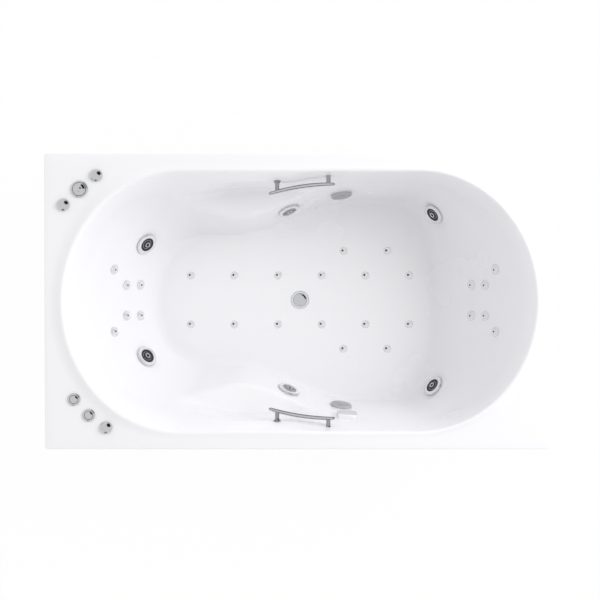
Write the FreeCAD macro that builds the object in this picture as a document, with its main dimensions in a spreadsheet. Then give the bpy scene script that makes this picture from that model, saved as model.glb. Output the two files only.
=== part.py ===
"""Jetted bathtub: a moulded shell with its frame, waste, jets, pump, blower and rim controls.

Axes: +X along the tub towards the deep right end, +Y to the back side, +Z up.
The origin is on the floor, under the middle of the rim rectangle.  Millimetres.
"""
import FreeCAD, Part
import math
import os
from FreeCAD import Vector, Rotation, Placement

os.makedirs("parts", exist_ok=True)
doc = FreeCAD.newDocument("JettedBathtub")

# ---------------------------------------------------------------- driving sizes
SIZES = [
    # rim and well
    ("tub_length", 1900), ("tub_width", 1100), ("rim_height", 606), ("rim_corner", 12),
    ("rim_lip", 36), ("skin", 8), ("well_half_length", 880), ("well_half_width", 485),
    ("end_curve", 440), ("crest_end", 14), ("crest_side", 3), ("crest_run_end", 42),
    ("crest_run_side", 24), ("crest_round", 12), ("crest_foot_round", 100),
    # floor
    ("well_depth", 455), ("floor_left", 590), ("floor_right", 566), ("floor_left_curve", 215),
    ("floor_right_curve", 185), ("floor_half_left", 262), ("floor_half_right", 405),
    ("floor_cove", 34), ("end_cove", 60), ("knee_drop", 190), ("knee_run_end", 0.24),
    ("knee_run_side", 0.38),
    ("knee_round", 420),
    # armrests
    ("arm_near", 48), ("arm_far", 62), ("arm_drop_outer", 262), ("arm_drop_inner", 274),
    ("arm_round", 34), ("arm_edge_round", 26), ("shoulder_in", 35),
    ("shoulder_drop", 58), ("shoulder_round", 60),
    ("arm_start", -530), ("arm_full", -215), ("arm_fade", -70), ("arm_end", 95),
    # base
    ("board_thick", 18), ("board_wide", 58), ("rail_size", 30), ("rail_wall", 2),
    ("rail_offset", 150), ("rail_length", 1800), ("cross_reach", 1060), ("cross_outer", 620),
    ("cross_inner", -170), ("foot_wide", 50), ("foot_thick", 9), ("screw_wide", 12),
    ("foot_inset", 60), ("post_size", 26), ("batten_thick", 18), ("batten_wide", 28),
    # water fittings
    ("cover_wide", 77), ("cover_tall", 60), ("cover_deep", 17), ("cover_wall", 3),
    ("drain_wide", 74), ("drain_bore", 52), ("waste_wide", 60), ("pipe_wide", 50),
    ("trap_drop", 72), ("outlet_reach", 190), ("outlet_collar", 40), ("plug_travel", 9),
    ("jet_wide", 88), ("jet_barrel", 54),
    ("jet_bore", 46), ("ball_wide", 36), ("suction_wide", 84), ("back_jet_wide", 40),
    ("floor_jet_wide", 32), ("floor_jet_pitch", 178.5), ("floor_jet_row", 100),
    ("header_place", 705), ("line_height", 345), ("water_pipe", 32), ("air_pipe", 20), ("turn_gap", 0.3),
    ("seat_gap", 0.05),
    ("hole_gap", 0.3), ("shaft_wide", 14), ("plug_stem", 8),
    # controls and handles
    ("knob_wide", 48), ("selector_wide", 64), ("handle_thick", 14),
    # pump and blower
    ("motor_wide", 128), ("motor_long", 190), ("volute_wide", 142), ("volute_long", 62),
    ("pump_place", -836), ("blower_wide", 170), ("blower_tall", 130), ("blower_place", 826),
]
sheet = doc.addObject("Spreadsheet::Sheet", "Sizes")
for row, (word, value) in enumerate(SIZES, start=1):
    sheet.set("A%d" % row, word)
    sheet.set("B%d" % row, str(value))
    sheet.setAlias("B%d" % row, word)
doc.recompute()


class Cells:
    """Reads a size from the sheet: size.tub_length and so on."""

    def __getattr__(self, word):
        return float(getattr(sheet, word))


size = Cells()
nodes = []          # every exported sub-part, in order


def keep(item, label):
    """Give a sub-part its own name and list it for export."""
    item.Label = label
    nodes.append(item)
    return item


def feature(label, shape):
    """A sub-part whose shape is computed here."""
    item = doc.addObject("Part::Feature", label)
    item.Shape = shape
    return keep(item, label)


def bound(kind, name, **cells):
    """A primitive whose sizes are bound to the sheet."""
    item = doc.addObject("Part::" + kind, name)
    for prop, rule in cells.items():
        item.setExpression(prop.replace("_", "."), rule)
    return item


def bound_box(name, long, wide, tall, x, y, z):
    """A box from expressions: its three sizes and its low corner."""
    return bound("Box", name, Length=long, Width=wide, Height=tall,
                 Placement_Base_x=x, Placement_Base_y=y, Placement_Base_z=z)


def joined(label, kind, members):
    """Fuse, compound or cut listed objects as one sub-part."""
    item = doc.addObject("Part::" + kind, label)
    if kind == "Compound":
        item.Links = members
    elif kind == "Cut":
        item.Base, item.Tool = members
    else:
        item.Shapes = members
    return item


# ---------------------------------------------------------------- plain geometry helpers
def smooth(low, high, value):
    """0 below low, 1 above high, an S-curve between."""
    t = min(1.0, max(0.0, (value - low) / (high - low)))
    return t * t * (3 - 2 * t)


def turned(profile, sides, start=0.0):
    """A turned solid of so many flat sides from its closed (radius, height) outline."""
    step = 2 * math.pi / sides

    def corner(radius, height, k):
        a = start + step * k
        return Vector(radius * math.cos(a), radius * math.sin(a), height)

    def ring(radius, height):
        return Part.makePolygon([corner(radius, height, k) for k in range(sides + 1)])

    faces = []
    for (r0, z0), (r1, z1) in zip(profile, profile[1:] + profile[:1]):
        if r0 < 1e-6 and r1 < 1e-6:
            continue
        if abs(z0 - z1) < 1e-6:
            face = Part.Face(ring(max(r0, r1), z0))
            if min(r0, r1) > 1e-6:
                face = face.cut(Part.Face(ring(min(r0, r1), z0)))
            faces += face.Faces
            continue
        for k in range(sides):
            points = [corner(r0, z0, k), corner(r0, z0, k + 1), corner(r1, z1, k + 1), corner(r1, z1, k)]
            if r0 < 1e-6:
                points = points[1:]
            elif r1 < 1e-6:
                points = points[:3]
            faces.append(Part.Face(Part.makePolygon(points + points[:1])))
    return closed_solid(faces)


def across(radius, sides):
    """Corner radius of a many-sided bore whose flats lie at radius."""
    return radius / math.cos(math.pi / sides)


def closed_solid(faces):
    """Sew faces into one solid with its inside inside."""
    sewn = Part.makeShell(faces)
    sewn.sewShape()
    solid = Part.makeSolid(Part.Shell(sewn.Faces))
    if solid.Volume < 0:
        solid.reverse()
    return solid


def aimed(shape, point, way, spin=0.0):
    """A copy with its own +Z along way, its own +X level, set at point."""
    way = Vector(way).normalize()
    level = Vector(0, 0, 1).cross(way)
    level = Vector(1, 0, 0) if level.Length < 1e-6 else level.normalize()
    turn = Rotation(level, way.cross(level), way, "ZXY")
    turn = turn.multiply(Rotation(Vector(0, 0, 1), spin))
    copy = shape.copy()
    copy.Placement = Placement(point, turn)
    return copy


def rod(start, end, wide, sides=0, bore=0.0):
    """A straight round (or many-sided) bar or tube from one point to another."""
    way = end - start
    if sides:
        outline = [(bore / 2, 0), (wide / 2, 0), (wide / 2, way.Length), (bore / 2, way.Length)]
        return aimed(turned(outline, sides), start, way)
    solid = Part.makeCylinder(wide / 2, way.Length, start, way)
    return solid.cut(Part.makeCylinder(bore / 2, way.Length, start, way)) if bore else solid


def mitred_pipe(points, wide, sides):
    """A pipe along straight runs, with each turn cut across its half angle."""
    ways = [(b - a).normalize() for a, b in zip(points, points[1:])]
    side = Vector(0, 0, 1).cross(ways[0])
    side = Vector(1, 0, 0) if side.Length < 1e-3 else side.normalize()
    rise = ways[0].cross(side)
    ring = []
    for k in range(sides + 1):
        a = 2 * math.pi * (k + 0.5) / sides
        ring.append(points[0] + (side * math.cos(a) + rise * math.sin(a)) * (wide / 2))
    faces = [Part.Face(Part.makePolygon(ring))]
    for i, way in enumerate(ways):
        on = ways[i + 1] if i + 1 < len(ways) else way
        mitre = (way + on).normalize()
        far = [p + way * ((points[i + 1] - p).dot(mitre) / way.dot(mitre)) for p in ring]
        for k in range(sides):
            faces.append(Part.Face(Part.makePolygon([ring[k], ring[k + 1], far[k + 1], far[k], ring[k]])))
        ring = far
    faces.append(Part.Face(Part.makePolygon(ring)))
    return closed_solid(faces)


# ---------------------------------------------------------------- the well's own surface
CAP_SPANS = 22          # facets round each end
SIDE_SPANS = 9          # facets along each side
RIGHT, BACK, LEFT, FRONT = "right", "back", "left", "front"


def stations():
    """Places round the well, anticlockwise from above: (wall, value)."""
    out = [(RIGHT, -90 + 180.0 * i / CAP_SPANS) for i in range(CAP_SPANS)]
    out += [(BACK, i / SIDE_SPANS) for i in range(SIDE_SPANS)]
    out += [(LEFT, 90 + 180.0 * i / CAP_SPANS) for i in range(CAP_SPANS)]
    out += [(FRONT, i / SIDE_SPANS) for i in range(SIDE_SPANS)]
    return out


def rim_edge(wall, value):
    """The crest line of the well: straight sides with elliptical ends."""
    centre = size.well_half_length - size.end_curve
    if wall in (RIGHT, LEFT):
        a = math.radians(value)
        x0 = centre if wall == RIGHT else -centre
        return Vector(x0 + size.end_curve * math.cos(a), size.well_half_width * math.sin(a), 0)
    x = centre * (1 - 2 * value)
    return Vector(x, size.well_half_width, 0) if wall == BACK else Vector(-x, -size.well_half_width, 0)


def floor_half(x):
    """The floor's half width swells in an S-curve past the armrests."""
    return size.floor_half_left + (size.floor_half_right - size.floor_half_left) * smooth(-275, 235, x)


def floor_edge(wall, value):
    """The line where the wall would meet the floor, before the cove."""
    right_centre = size.floor_right - size.floor_right_curve
    left_centre = -size.floor_left + size.floor_left_curve
    if wall in (RIGHT, LEFT):
        a = math.radians(value)
        power = 2.5 if wall == RIGHT else 2.1
        reach = (abs(math.cos(a)) ** power + abs(math.sin(a)) ** power) ** (-1 / power)
        x0 = right_centre if wall == RIGHT else left_centre
        half = size.floor_right_curve if wall == RIGHT else size.floor_left_curve
        return Vector(x0 + half * reach * math.cos(a), floor_half(x0) * reach * math.sin(a), 0)
    x = right_centre + (left_centre - right_centre) * (value if wall == BACK else 1 - value)
    return Vector(x, floor_half(x) * (1 if wall == BACK else -1), 0)


def rounded(corners, radii):
    """Straight runs and tangent arcs through the corners of an outline."""
    runs, start = [], Vector(*corners[0], 0)
    for (ax, ay), (bx, by), (cx, cy), radius in zip(corners, corners[1:], corners[2:], radii):
        a, b, c = Vector(ax, ay, 0), Vector(bx, by, 0), Vector(cx, cy, 0)
        back, on = (a - b).normalize(), (c - b).normalize()
        angle = back.getAngle(on)
        trim = radius / math.tan(angle / 2)
        centre = b + (back + on).normalize() * (radius / math.sin(angle / 2))
        runs.append((start, b + back * trim, None))
        runs.append((b + back * trim, b + on * trim, centre))
        start = b + on * trim
    runs.append((start, Vector(*corners[-1], 0), None))
    return runs


def along(run, share):
    """The point at a share of a straight run or an arc."""
    a, b, centre = run
    if centre is None:
        return a + (b - a) * share
    ra, rb = a - centre, b - centre
    angle = ra.getAngle(rb)
    return centre + (ra * math.sin((1 - share) * angle) + rb * math.sin(share * angle)) / math.sin(angle)


def end_share(wall, value):
    """0 along the sides, rising to 1 round the ends."""
    if wall in (RIGHT, LEFT):
        return smooth(0.0, 0.75, abs(math.cos(math.radians(value))))
    return 0.0


def arm_share(wall, x):
    """How much of an armrest the wall carries at x."""
    if wall == RIGHT:
        return 0.0
    return smooth(size.arm_start, size.arm_full, x) * (1 - smooth(size.arm_fade, size.arm_end, x))


# matching (piece, share) places on the plain wall and on the armrest wall
ROWS = [((1, 0.0), (1, 0.0)), ((1, 0.6), (1, 0.6)), ((3, 0.0), (3, 0.0)), ((3, 0.5), (3, 0.5)),
        ((3, 1.0), (3, 1.0)), ((4, 0.5), (5, 0.5)), ((5, 0.0), (6, 0.35)), ((5, 0.5), (6, 0.7)),
        ((5, 1.0), (7, 0.0)), ((6, 0.06), (7, 0.5)), ((6, 0.12), (7, 1.0)), ((6, 0.16), (9, 0.0)),
        ((6, 0.24), (9, 0.5)), ((6, 0.34), (9, 1.0)), ((6, 0.7), (10, 0.5)), ((7, 0.0), (11, 0.0)),
        ((7, 0.33), (11, 0.33)), ((7, 0.67), (11, 0.67)), ((7, 1.0), (11, 1.0))]
CREST_ROW = 4           # the row where the crest's rounding ends
OUTER_ROWS = [0, 2, 4, 6, 8, 10, 12, 14, 16, 18]


def section(wall, value):
    """The well's section at one place: outward point, inward way, (run, height) points."""
    top, low = rim_edge(wall, value), floor_edge(wall, value)
    run = (low - top).Length
    inward = (low - top).normalize()
    ends = end_share(wall, value)
    arm = arm_share(wall, top.x)
    crest = size.crest_side + (size.crest_end - size.crest_side) * ends
    foot = size.crest_run_side + (size.crest_run_end - size.crest_run_side) * ends
    cove = size.floor_cove + (size.end_cove - size.floor_cove) * ends
    knee = size.knee_run_side + (size.knee_run_end - size.knee_run_side) * ends
    head = [(-foot - 40, 0.0), (-foot, 0.0), (0.0, crest)]
    tail = [(run, -size.well_depth), (run + 90, -size.well_depth)]
    rims = [size.crest_foot_round, size.crest_round]
    plain = rounded(head + [(knee * run, -size.knee_drop)] + tail, rims + [size.knee_round, cove])
    ledge = min(1.0, max(0.15, (run - size.arm_far - size.arm_near) / 60))
    far = max(size.arm_near + 8, run - size.arm_far)
    shelf = rounded(head + [(size.shoulder_in, -size.shoulder_drop), (size.arm_near, -size.arm_drop_outer),
                            (far, -size.arm_drop_inner)] + tail,
                    rims + [size.shoulder_round, size.arm_round * ledge, size.arm_edge_round * ledge, cove])
    points = [along(plain[p], a) * (1 - arm) + along(shelf[q], b) * arm for (p, a), (q, b) in ROWS]
    return top, inward, points


def well_rows():
    """Inner surface points: one row per station, from the crest's foot to the floor."""
    rows = []
    for wall, value in stations():
        top, inward, points = section(wall, value)
        rows.append([Vector(top.x + inward.x * p.x, top.y + inward.y * p.x, size.rim_height + p.y)
                     for p in points])
    return rows


def outer_rows(rows):
    """The same rows moved outward by the skin, square to the surface."""
    out, count = [], len(rows)
    for i, row in enumerate(rows):
        line = []
        for j, point in enumerate(row):
            if j in (0, len(row) - 1):
                line.append(point - Vector(0, 0, size.skin))
                continue
            round_way = rows[(i + 1) % count][j] - rows[i - 1][j]
            down_way = row[j + 1] - row[j - 1]
            line.append(point - round_way.cross(down_way).normalize() * size.skin)
        out.append(line)
    return out


def banded(rows, picks):
    """Flat triangles between neighbouring rows, at the picked depths only."""
    faces, count = [], len(rows)
    for i in range(count):
        this, after = rows[i], rows[(i + 1) % count]
        for a, b in zip(picks, picks[1:]):
            for points in ((this[a], after[a], after[b]), (this[a], after[b], this[b])):
                faces.append(Part.Face(Part.makePolygon(list(points) + [points[0]])))
    return faces


def loop_face(rows, depth):
    """The flat face inside one closed row line."""
    points = [row[depth] for row in rows]
    return Part.Face(Part.makePolygon(points + points[:1]))


def rounded_block(long, wide, tall, corner, z):
    """A block round the middle with rounded upright corners."""
    block = Part.makeBox(long, wide, tall, Vector(-long / 2, -wide / 2, z))
    upright = [e for e in block.Edges if abs(e.Vertexes[0].Z - e.Vertexes[-1].Z) > tall / 2]
    return block.makeFillet(corner, upright)


def tub_form():
    """The moulded skin: rim with its turned-down lip, and the well."""
    rows = well_rows()
    outer = outer_rows(rows)
    low = size.rim_height - size.rim_lip
    rim = rounded_block(size.tub_length, size.tub_width, size.rim_lip, size.rim_corner, low)
    rim = rim.cut(rounded_block(size.tub_length - 2 * size.skin, size.tub_width - 2 * size.skin,
                                size.rim_lip - size.skin, size.rim_corner - size.skin, low))
    faces = []
    for face in rim.Faces:
        flat = face.BoundBox.ZLength < 1e-6
        if flat and abs(face.BoundBox.ZMax - size.rim_height) < 1e-6:
            faces += face.cut(loop_face(rows, 0)).Faces
        elif flat and abs(face.BoundBox.ZMax - size.rim_height + size.skin) < 1e-6:
            faces += face.cut(loop_face(outer, 0)).Faces
        else:
            faces.append(face)
    last = len(rows[0]) - 1
    faces += banded(rows, list(range(last + 1)))
    faces += banded(outer, OUTER_ROWS)
    faces += [loop_face(rows, last), loop_face(outer, last)]
    return closed_solid(faces), rows


def wall_seat(wall, value, over_floor):
    """A point of the well's inner wall at a height over its floor, with the way out of the wall."""
    height = size.rim_height - size.well_depth + over_floor
    def at(v):
        top, inward, points = section(wall, v)
        drop = height - size.rim_height
        spots = [p for p in points if p.y <= size.crest_end]
        for p, q in zip(spots[CREST_ROW:], spots[CREST_ROW + 1:]):
            if q.y <= drop <= p.y:
                share = (p.y - drop) / (p.y - q.y) if p.y != q.y else 0.0
                r = p.x + (q.x - p.x) * share
                slope = (q - p).normalize()
                return Vector(top.x + inward.x * r, top.y + inward.y * r, height), \
                    Vector(inward.x * slope.x, inward.y * slope.x, slope.y)
        raise ValueError("no wall at height %.0f" % height)
    step = 1.0 if wall in (RIGHT, LEFT) else 0.01
    point, down = at(value)
    ahead, behind = at(value + step)[0], at(value - step)[0]
    way = down.cross(ahead - behind).normalize()
    return point, way if way.z > 0 or way.dot(Vector(-point.x, -point.y, 0)) > 0 else way * -1


# ---------------------------------------------------------------- where the fittings sit
# heights over the well floor
JETS = [(LEFT, 138.2, 116), (LEFT, 221.8, 116), (BACK, 0.5605, 107), (FRONT, 0.4395, 107),
        (RIGHT, 52.1, 65), (RIGHT, -52.1, 65)]
SUCTIONS = [(BACK, 0.296, 129), (FRONT, 0.704, 129)]
BACK_JETS = [(LEFT, 161.4, 189), (LEFT, 198.6, 189), (LEFT, 169.8, 127), (LEFT, 190.2, 127),
             (LEFT, 168.4, 70), (LEFT, 191.6, 70), (RIGHT, 15.3, 234), (RIGHT, -15.3, 234),
             (RIGHT, 7.8, 183), (RIGHT, -7.8, 183), (RIGHT, 8.1, 131), (RIGHT, -8.1, 131)]
OVERFLOW = (FRONT, 0.718, 258)
MANIFOLDS = [(-1, -757, 260), (1, 800, 285)]
floor_top = size.rim_height - size.well_depth
floor_under = floor_top - size.skin
board_low = floor_under - size.board_thick
rail_low = board_low - size.rail_size
cross_low = rail_low - size.rail_size


def floor_jet_places():
    """Two long rows of six, and two outer pairs in the wide right half."""
    out = []
    for side in (-1, 1):
        for i in range(6):
            out.append(Vector((i - 2.5) * size.floor_jet_pitch, side * size.floor_jet_row, floor_top))
        for k in (1, 2):
            out.append(Vector(k * size.floor_jet_pitch, side * 2 * size.floor_jet_row, floor_top))
    return out


# rim controls: (x, y, wide, kind)
CONTROLS = [(-757, 468, "knob"), (-819, 417, "selector"), (-879, 359, "knob"),
            (-722, -469, "knob"), (-786, -423, "button"), (-841, -364, "button")]
HANDLE_POSTS = [(-86, 447), (107, 478)]
HANDLE_DROP = 60
up = Vector(0, 0, 1)


def seat_cut(wide, deep):
    """A shallow round seat for a fitting on the curved wall."""
    return turned([(0, 0), (wide / 2, 0), (wide / 2, deep), (0, deep)], 20)


def shell_with_holes():
    """The skin with a seat and a hole for each fitting."""
    form, rows = tub_form()
    cuts, bosses = [], []
    jet_seat = turned([(0, 0), (size.jet_wide / 2 + 2, 0), (size.jet_wide / 2 + 2, 30), (0, 30)], 16)
    barrel = across(size.jet_barrel / 2 + size.hole_gap, 14)
    jet_hole = turned([(0, -60), (barrel, -60), (barrel, 5), (0, 5)], 14)
    back_face = turned([(0, -60), (size.jet_barrel / 2 + 15, -60), (size.jet_barrel / 2 + 15, -size.skin),
                        (0, -size.skin)], 14)
    for place in JETS + SUCTIONS:
        point, way = wall_seat(*place)
        cuts += [aimed(jet_seat, point, way), aimed(jet_hole, point, way), aimed(back_face, point, way)]
        boss = turned([(0, -size.skin), (size.jet_wide / 2 + 6, -size.skin),
                       (size.jet_wide / 2 + 6, 0), (0, 0)], 16)
        bosses.append(aimed(boss, point, way))
    small = size.back_jet_wide / 2 + 1
    small_seat = turned([(0, 0), (small, 0), (small, 12), (0, 12)], 12)
    stem = across(11 + size.hole_gap, 8)
    small_hole = turned([(0, -30), (stem, -30), (stem, 5), (0, 5)], 8)
    for place in BACK_JETS:
        point, way = wall_seat(*place)
        cuts += [aimed(small_seat, point, way), aimed(small_hole, point, way)]
    point, way = wall_seat(*OVERFLOW)
    neck = across(27 + size.hole_gap, 14)
    cuts.append(aimed(turned([(0, -60), (neck, -60), (neck, 5), (0, 5)], 14), point, way))
    cuts.append(aimed(turned([(0, -60), (39, -60), (39, -size.skin), (0, -size.skin)], 16), point, way))
    flat = Part.makeBox(size.cover_wide + 4, size.cover_tall + 4, 30,
                        Vector(-size.cover_wide / 2 - 2, -size.cover_tall / 2 - 2, 0))
    cuts.append(aimed(flat, point, way))
    cuts.append(Part.makeCylinder(size.drain_bore / 2 + 0.5, 30, Vector(0, 0, floor_under - 5)))
    for spot in floor_jet_places():
        hole = turned([(0, -20), (9.4, -20), (9.4, 5), (0, 5)], 8)
        cuts.append(aimed(hole, spot, up))
    for x, y, kind in CONTROLS:
        low = size.rim_height - 30
        cuts.append(turned([(0, 0), (15.9, 0), (15.9, 80), (0, 80)], 12).translated(Vector(x, y, low)))
    for x, y in HANDLE_POSTS:
        for side in (-1, 1):
            z = size.rim_height - HANDLE_DROP
            start = Vector(x, side * (y - 30), z)
            cuts.append(rod(start, start + Vector(0, side * 80, 0), 9, 8))
    form = form.fuse(bosses)
    form = form.cut(cuts)
    return form


feature("tub_shell", shell_with_holes())


# ---------------------------------------------------------------- base, frame and feet
def tube_pair(name, long, wide, tall, x, y, z, axis):
    """A square tube as an outer box less an inner one, both bound to the sheet."""
    outer = bound_box(name + "_outer", long, wide, tall, x, y, z)
    inner_sizes = [long, wide, tall]
    inner_spots = [x, y, z]
    for i in range(3):
        if i != axis:
            inner_sizes[i] = "%s - 2 * Sizes.rail_wall" % inner_sizes[i]
            inner_spots[i] = "%s + Sizes.rail_wall" % inner_spots[i]
    inner = bound_box(name + "_inner", *inner_sizes, *inner_spots)
    return joined(name, "Cut", [outer, inner])


FLOOR_UNDER = "Sizes.rim_height - Sizes.well_depth - Sizes.skin"
BOARD_LOW = FLOOR_UNDER + " - Sizes.board_thick"
RAIL_LOW = BOARD_LOW + " - Sizes.rail_size"
CROSS_LOW = RAIL_LOW + " - Sizes.rail_size"


def base_and_frame():
    """Base boards, long rails, cross rails, rim posts and battens."""
    boards, rails, crosses, posts = [], [], [], []
    for side in ("-", ""):
        edge = "%sSizes.rail_offset" % side
        boards.append(bound_box("board" + side, "820 mm", "Sizes.board_wide", "Sizes.board_thick",
                                "-340", edge + " - Sizes.board_wide / 2", BOARD_LOW))
        rails.append(tube_pair("rail" + side, "Sizes.rail_length", "Sizes.rail_size", "Sizes.rail_size",
                               "-Sizes.rail_length / 2", edge + " - Sizes.rail_size / 2", RAIL_LOW, 0))
    for i, spot in enumerate(("-Sizes.cross_outer", "Sizes.cross_inner", "Sizes.cross_outer")):
        crosses.append(tube_pair("cross%d" % i, "Sizes.rail_size", "Sizes.cross_reach", "Sizes.rail_size",
                                 spot + " - Sizes.rail_size / 2", "-Sizes.cross_reach / 2", CROSS_LOW, 1))
        for side, edge in (("a", "Sizes.cross_reach / 2 - Sizes.post_size"), ("b", "-Sizes.cross_reach / 2")):
            top = "Sizes.rim_height - Sizes.skin - Sizes.batten_thick"
            posts.append(tube_pair("post%d%s" % (i, side), "Sizes.post_size", "Sizes.post_size",
                                   "%s - (%s) - Sizes.rail_size" % (top, CROSS_LOW),
                                   spot + " - Sizes.post_size / 2", edge, RAIL_LOW, 2))
    keep(joined("base_boards", "Compound", boards), "base_boards")
    keep(joined("frame_side_rails", "Compound", rails), "frame_side_rails")
    keep(joined("frame_cross_rails", "Compound", crosses), "frame_cross_rails")
    keep(joined("frame_posts", "Compound", posts), "frame_posts")
    battens = []
    low = "Sizes.rim_height - Sizes.skin - Sizes.batten_thick"
    for side, edge in (("a", "Sizes.cross_reach / 2 - Sizes.batten_wide"), ("b", "-Sizes.cross_reach / 2")):
        battens.append(bound_box("batten_side" + side, "Sizes.tub_length - 300", "Sizes.batten_wide",
                                 "Sizes.batten_thick", "-(Sizes.tub_length - 300) / 2", edge, low))
    keep(joined("rim_battens", "Compound", battens), "rim_battens")


def feet():
    """Six screw feet: rubber pads, threaded legs and their lock nuts."""
    pads, screws, nuts = [], [], []
    pad = turned([(0, 0), (size.foot_wide / 2, 0), (size.foot_wide / 2, 4), (12, size.foot_thick),
                  (0, size.foot_thick)], 12)
    screw = turned([(0, size.foot_thick), (size.screw_wide / 2, size.foot_thick),
                    (size.screw_wide / 2, cross_low), (0, cross_low)], 8)
    thread = across(size.screw_wide / 2 + 0.1, 6)
    nut = turned([(thread, 0), (11, 0), (11, 8), (thread, 8)], 6)
    reach = size.cross_reach / 2 - size.foot_inset
    for x in (-size.cross_outer, size.cross_inner, size.cross_outer):
        for y in (-reach, reach):
            spot = Vector(x, y, 0)
            pads.append(pad.translated(spot))
            screws.append(screw.translated(spot))
            nuts.append(nut.translated(spot + Vector(0, 0, cross_low - 8)))
    feature("foot_pads", Part.makeCompound(pads))
    feature("foot_screws", Part.makeCompound(screws))
    feature("foot_lock_nuts", Part.makeCompound(nuts))


# ---------------------------------------------------------------- waste and overflow
def waste_parts():
    """Drain flange, gasket, pop-up plug, waste body and trap."""
    top, under = floor_top, floor_under
    bore, wide = size.drain_bore / 2, size.drain_wide / 2
    flange = turned([(bore - 4, under - 10), (bore, under - 10), (bore, top), (wide, top), (wide, top + 1.5),
                     (wide - 6, top + 3.5), (bore + 2, top + 2.5), (bore - 4, top)], 28)
    feature("drain_flange", flange)
    gasket = turned([(bore + 1, under - 3), (size.waste_wide / 2 + 4, under - 3),
                     (size.waste_wide / 2 + 4, under), (bore + 1, under)], 16)
    feature("drain_gasket", gasket)
    low, stem = under - 46, size.plug_stem / 2
    foot = low + 6 - size.plug_travel
    plug = turned([(0, foot), (stem, foot), (stem, top - 3), (bore - 6, top - 3), (bore - 6, top - 0.2),
                   (bore + 1, top + 2.5), (bore + 1, top + 4), (bore - 8, top + 8), (0, top + 9)], 24)
    feature("drain_plug", plug)
    bush = across(stem + size.turn_gap, 20)
    body = turned([(bush, low + 12), (bore - 7, low + 12), (bore - 7, under - 10), (bore + 0.5, under - 10),
                   (bore + 0.5, under - 3), (size.waste_wide / 2 + 4, under - 3),
                   (size.waste_wide / 2 + 4, under - 9), (size.waste_wide / 2, under - 9),
                   (size.waste_wide / 2, low), (17, low), (17, low + 8), (bush, low + 8)], 20)
    feature("waste_body", body)
    pipe = size.pipe_wide
    trap_low = low - size.trap_drop + 10
    centre = trap_low + pipe / 2 + 5
    cup = turned([(0, trap_low), (pipe / 2 + 6, trap_low), (pipe / 2 + 6, low), (15, low),
                  (15, trap_low + 4), (0, trap_low + 4)], 18)
    inside = turned([(0, 0), (pipe / 2, 0), (pipe / 2, 300), (0, 300)], 18)
    tail = rod(Vector(0, 12, centre), Vector(0, size.outlet_reach, centre), pipe, 0, pipe - 6)
    collar = rod(Vector(0, 12, centre), Vector(0, size.outlet_collar, centre), pipe + 10, 0, pipe - 6)
    inlet = rod(Vector(0, -22, centre + 13), Vector(0, -44, centre + 13), 30, 14, 22)
    passage = rod(Vector(0, 0, centre), Vector(0, pipe, centre), 24)
    feature("waste_trap", cup.fuse([tail.cut(inside), collar.cut(inside), inlet.cut(inside)]).cut(passage))
    return centre


def overflow_parts(trap_centre):
    """Cover inside the well, elbow behind the wall and the pipe down to the trap."""
    point, way = wall_seat(*OVERFLOW)
    side = up.cross(way).normalize()
    high = way.cross(side)
    turn = Placement(point, Rotation(side, high, way, "ZXY"))
    wide, tall, deep, wall = size.cover_wide, size.cover_tall, size.cover_deep, size.cover_wall
    outer = Part.makeBox(wide, tall, deep, Vector(-wide / 2, -tall / 2, size.seat_gap))
    outer = outer.makeFillet(12, [e for e in outer.Edges if abs(e.Vertexes[0].Z - e.Vertexes[-1].Z) > 1])
    outer = outer.makeChamfer(3, [e for e in outer.Edges if e.BoundBox.ZMin > deep])
    inner = Part.makeBox(wide - 2 * wall, tall - 2 * wall, deep - wall,
                         Vector(wall - wide / 2, wall - tall / 2, 0))
    slot = Part.makeBox(46, 12, 11, Vector(-23, -tall / 2 - 4, -1))
    cover = outer.cut(inner.fuse(slot)).fuse(Part.makeBox(8, 8, deep - 2, Vector(-4, -4, size.seat_gap)))
    cover.Placement = turn
    feature("overflow_cover", cover)
    body = turned([(20, -44), (27, -44), (27, -size.skin - 6), (36, -size.skin - 6), (36, -size.skin),
                   (27, -size.skin), (27, 0), (20, 0)], 16)
    back = turned([(0, -48), (27, -48), (27, -44), (0, -44)], 16)
    spider = Part.makeBox(42, 8, 4, Vector(-21, -4, -4))
    whole = body.fuse([back, spider])
    whole.Placement = turn
    feature("overflow_body", whole)
    start = point - way * 31 - high * 20
    pipe_end = Vector(0, -44, trap_centre + 13)
    corners = [start, Vector(start.x + 10, start.y - 2, start.z - 25), Vector(238, -486, 330),
               Vector(240, -480, 140), Vector(200, -330, pipe_end.z), Vector(0, -220, pipe_end.z), pipe_end]
    filled = turned([(0, -48), (27, -48), (27, 0), (0, 0)], 16)
    filled.Placement = turn
    feature("overflow_pipe", mitred_pipe(corners, 26, 10).cut(filled))


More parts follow.
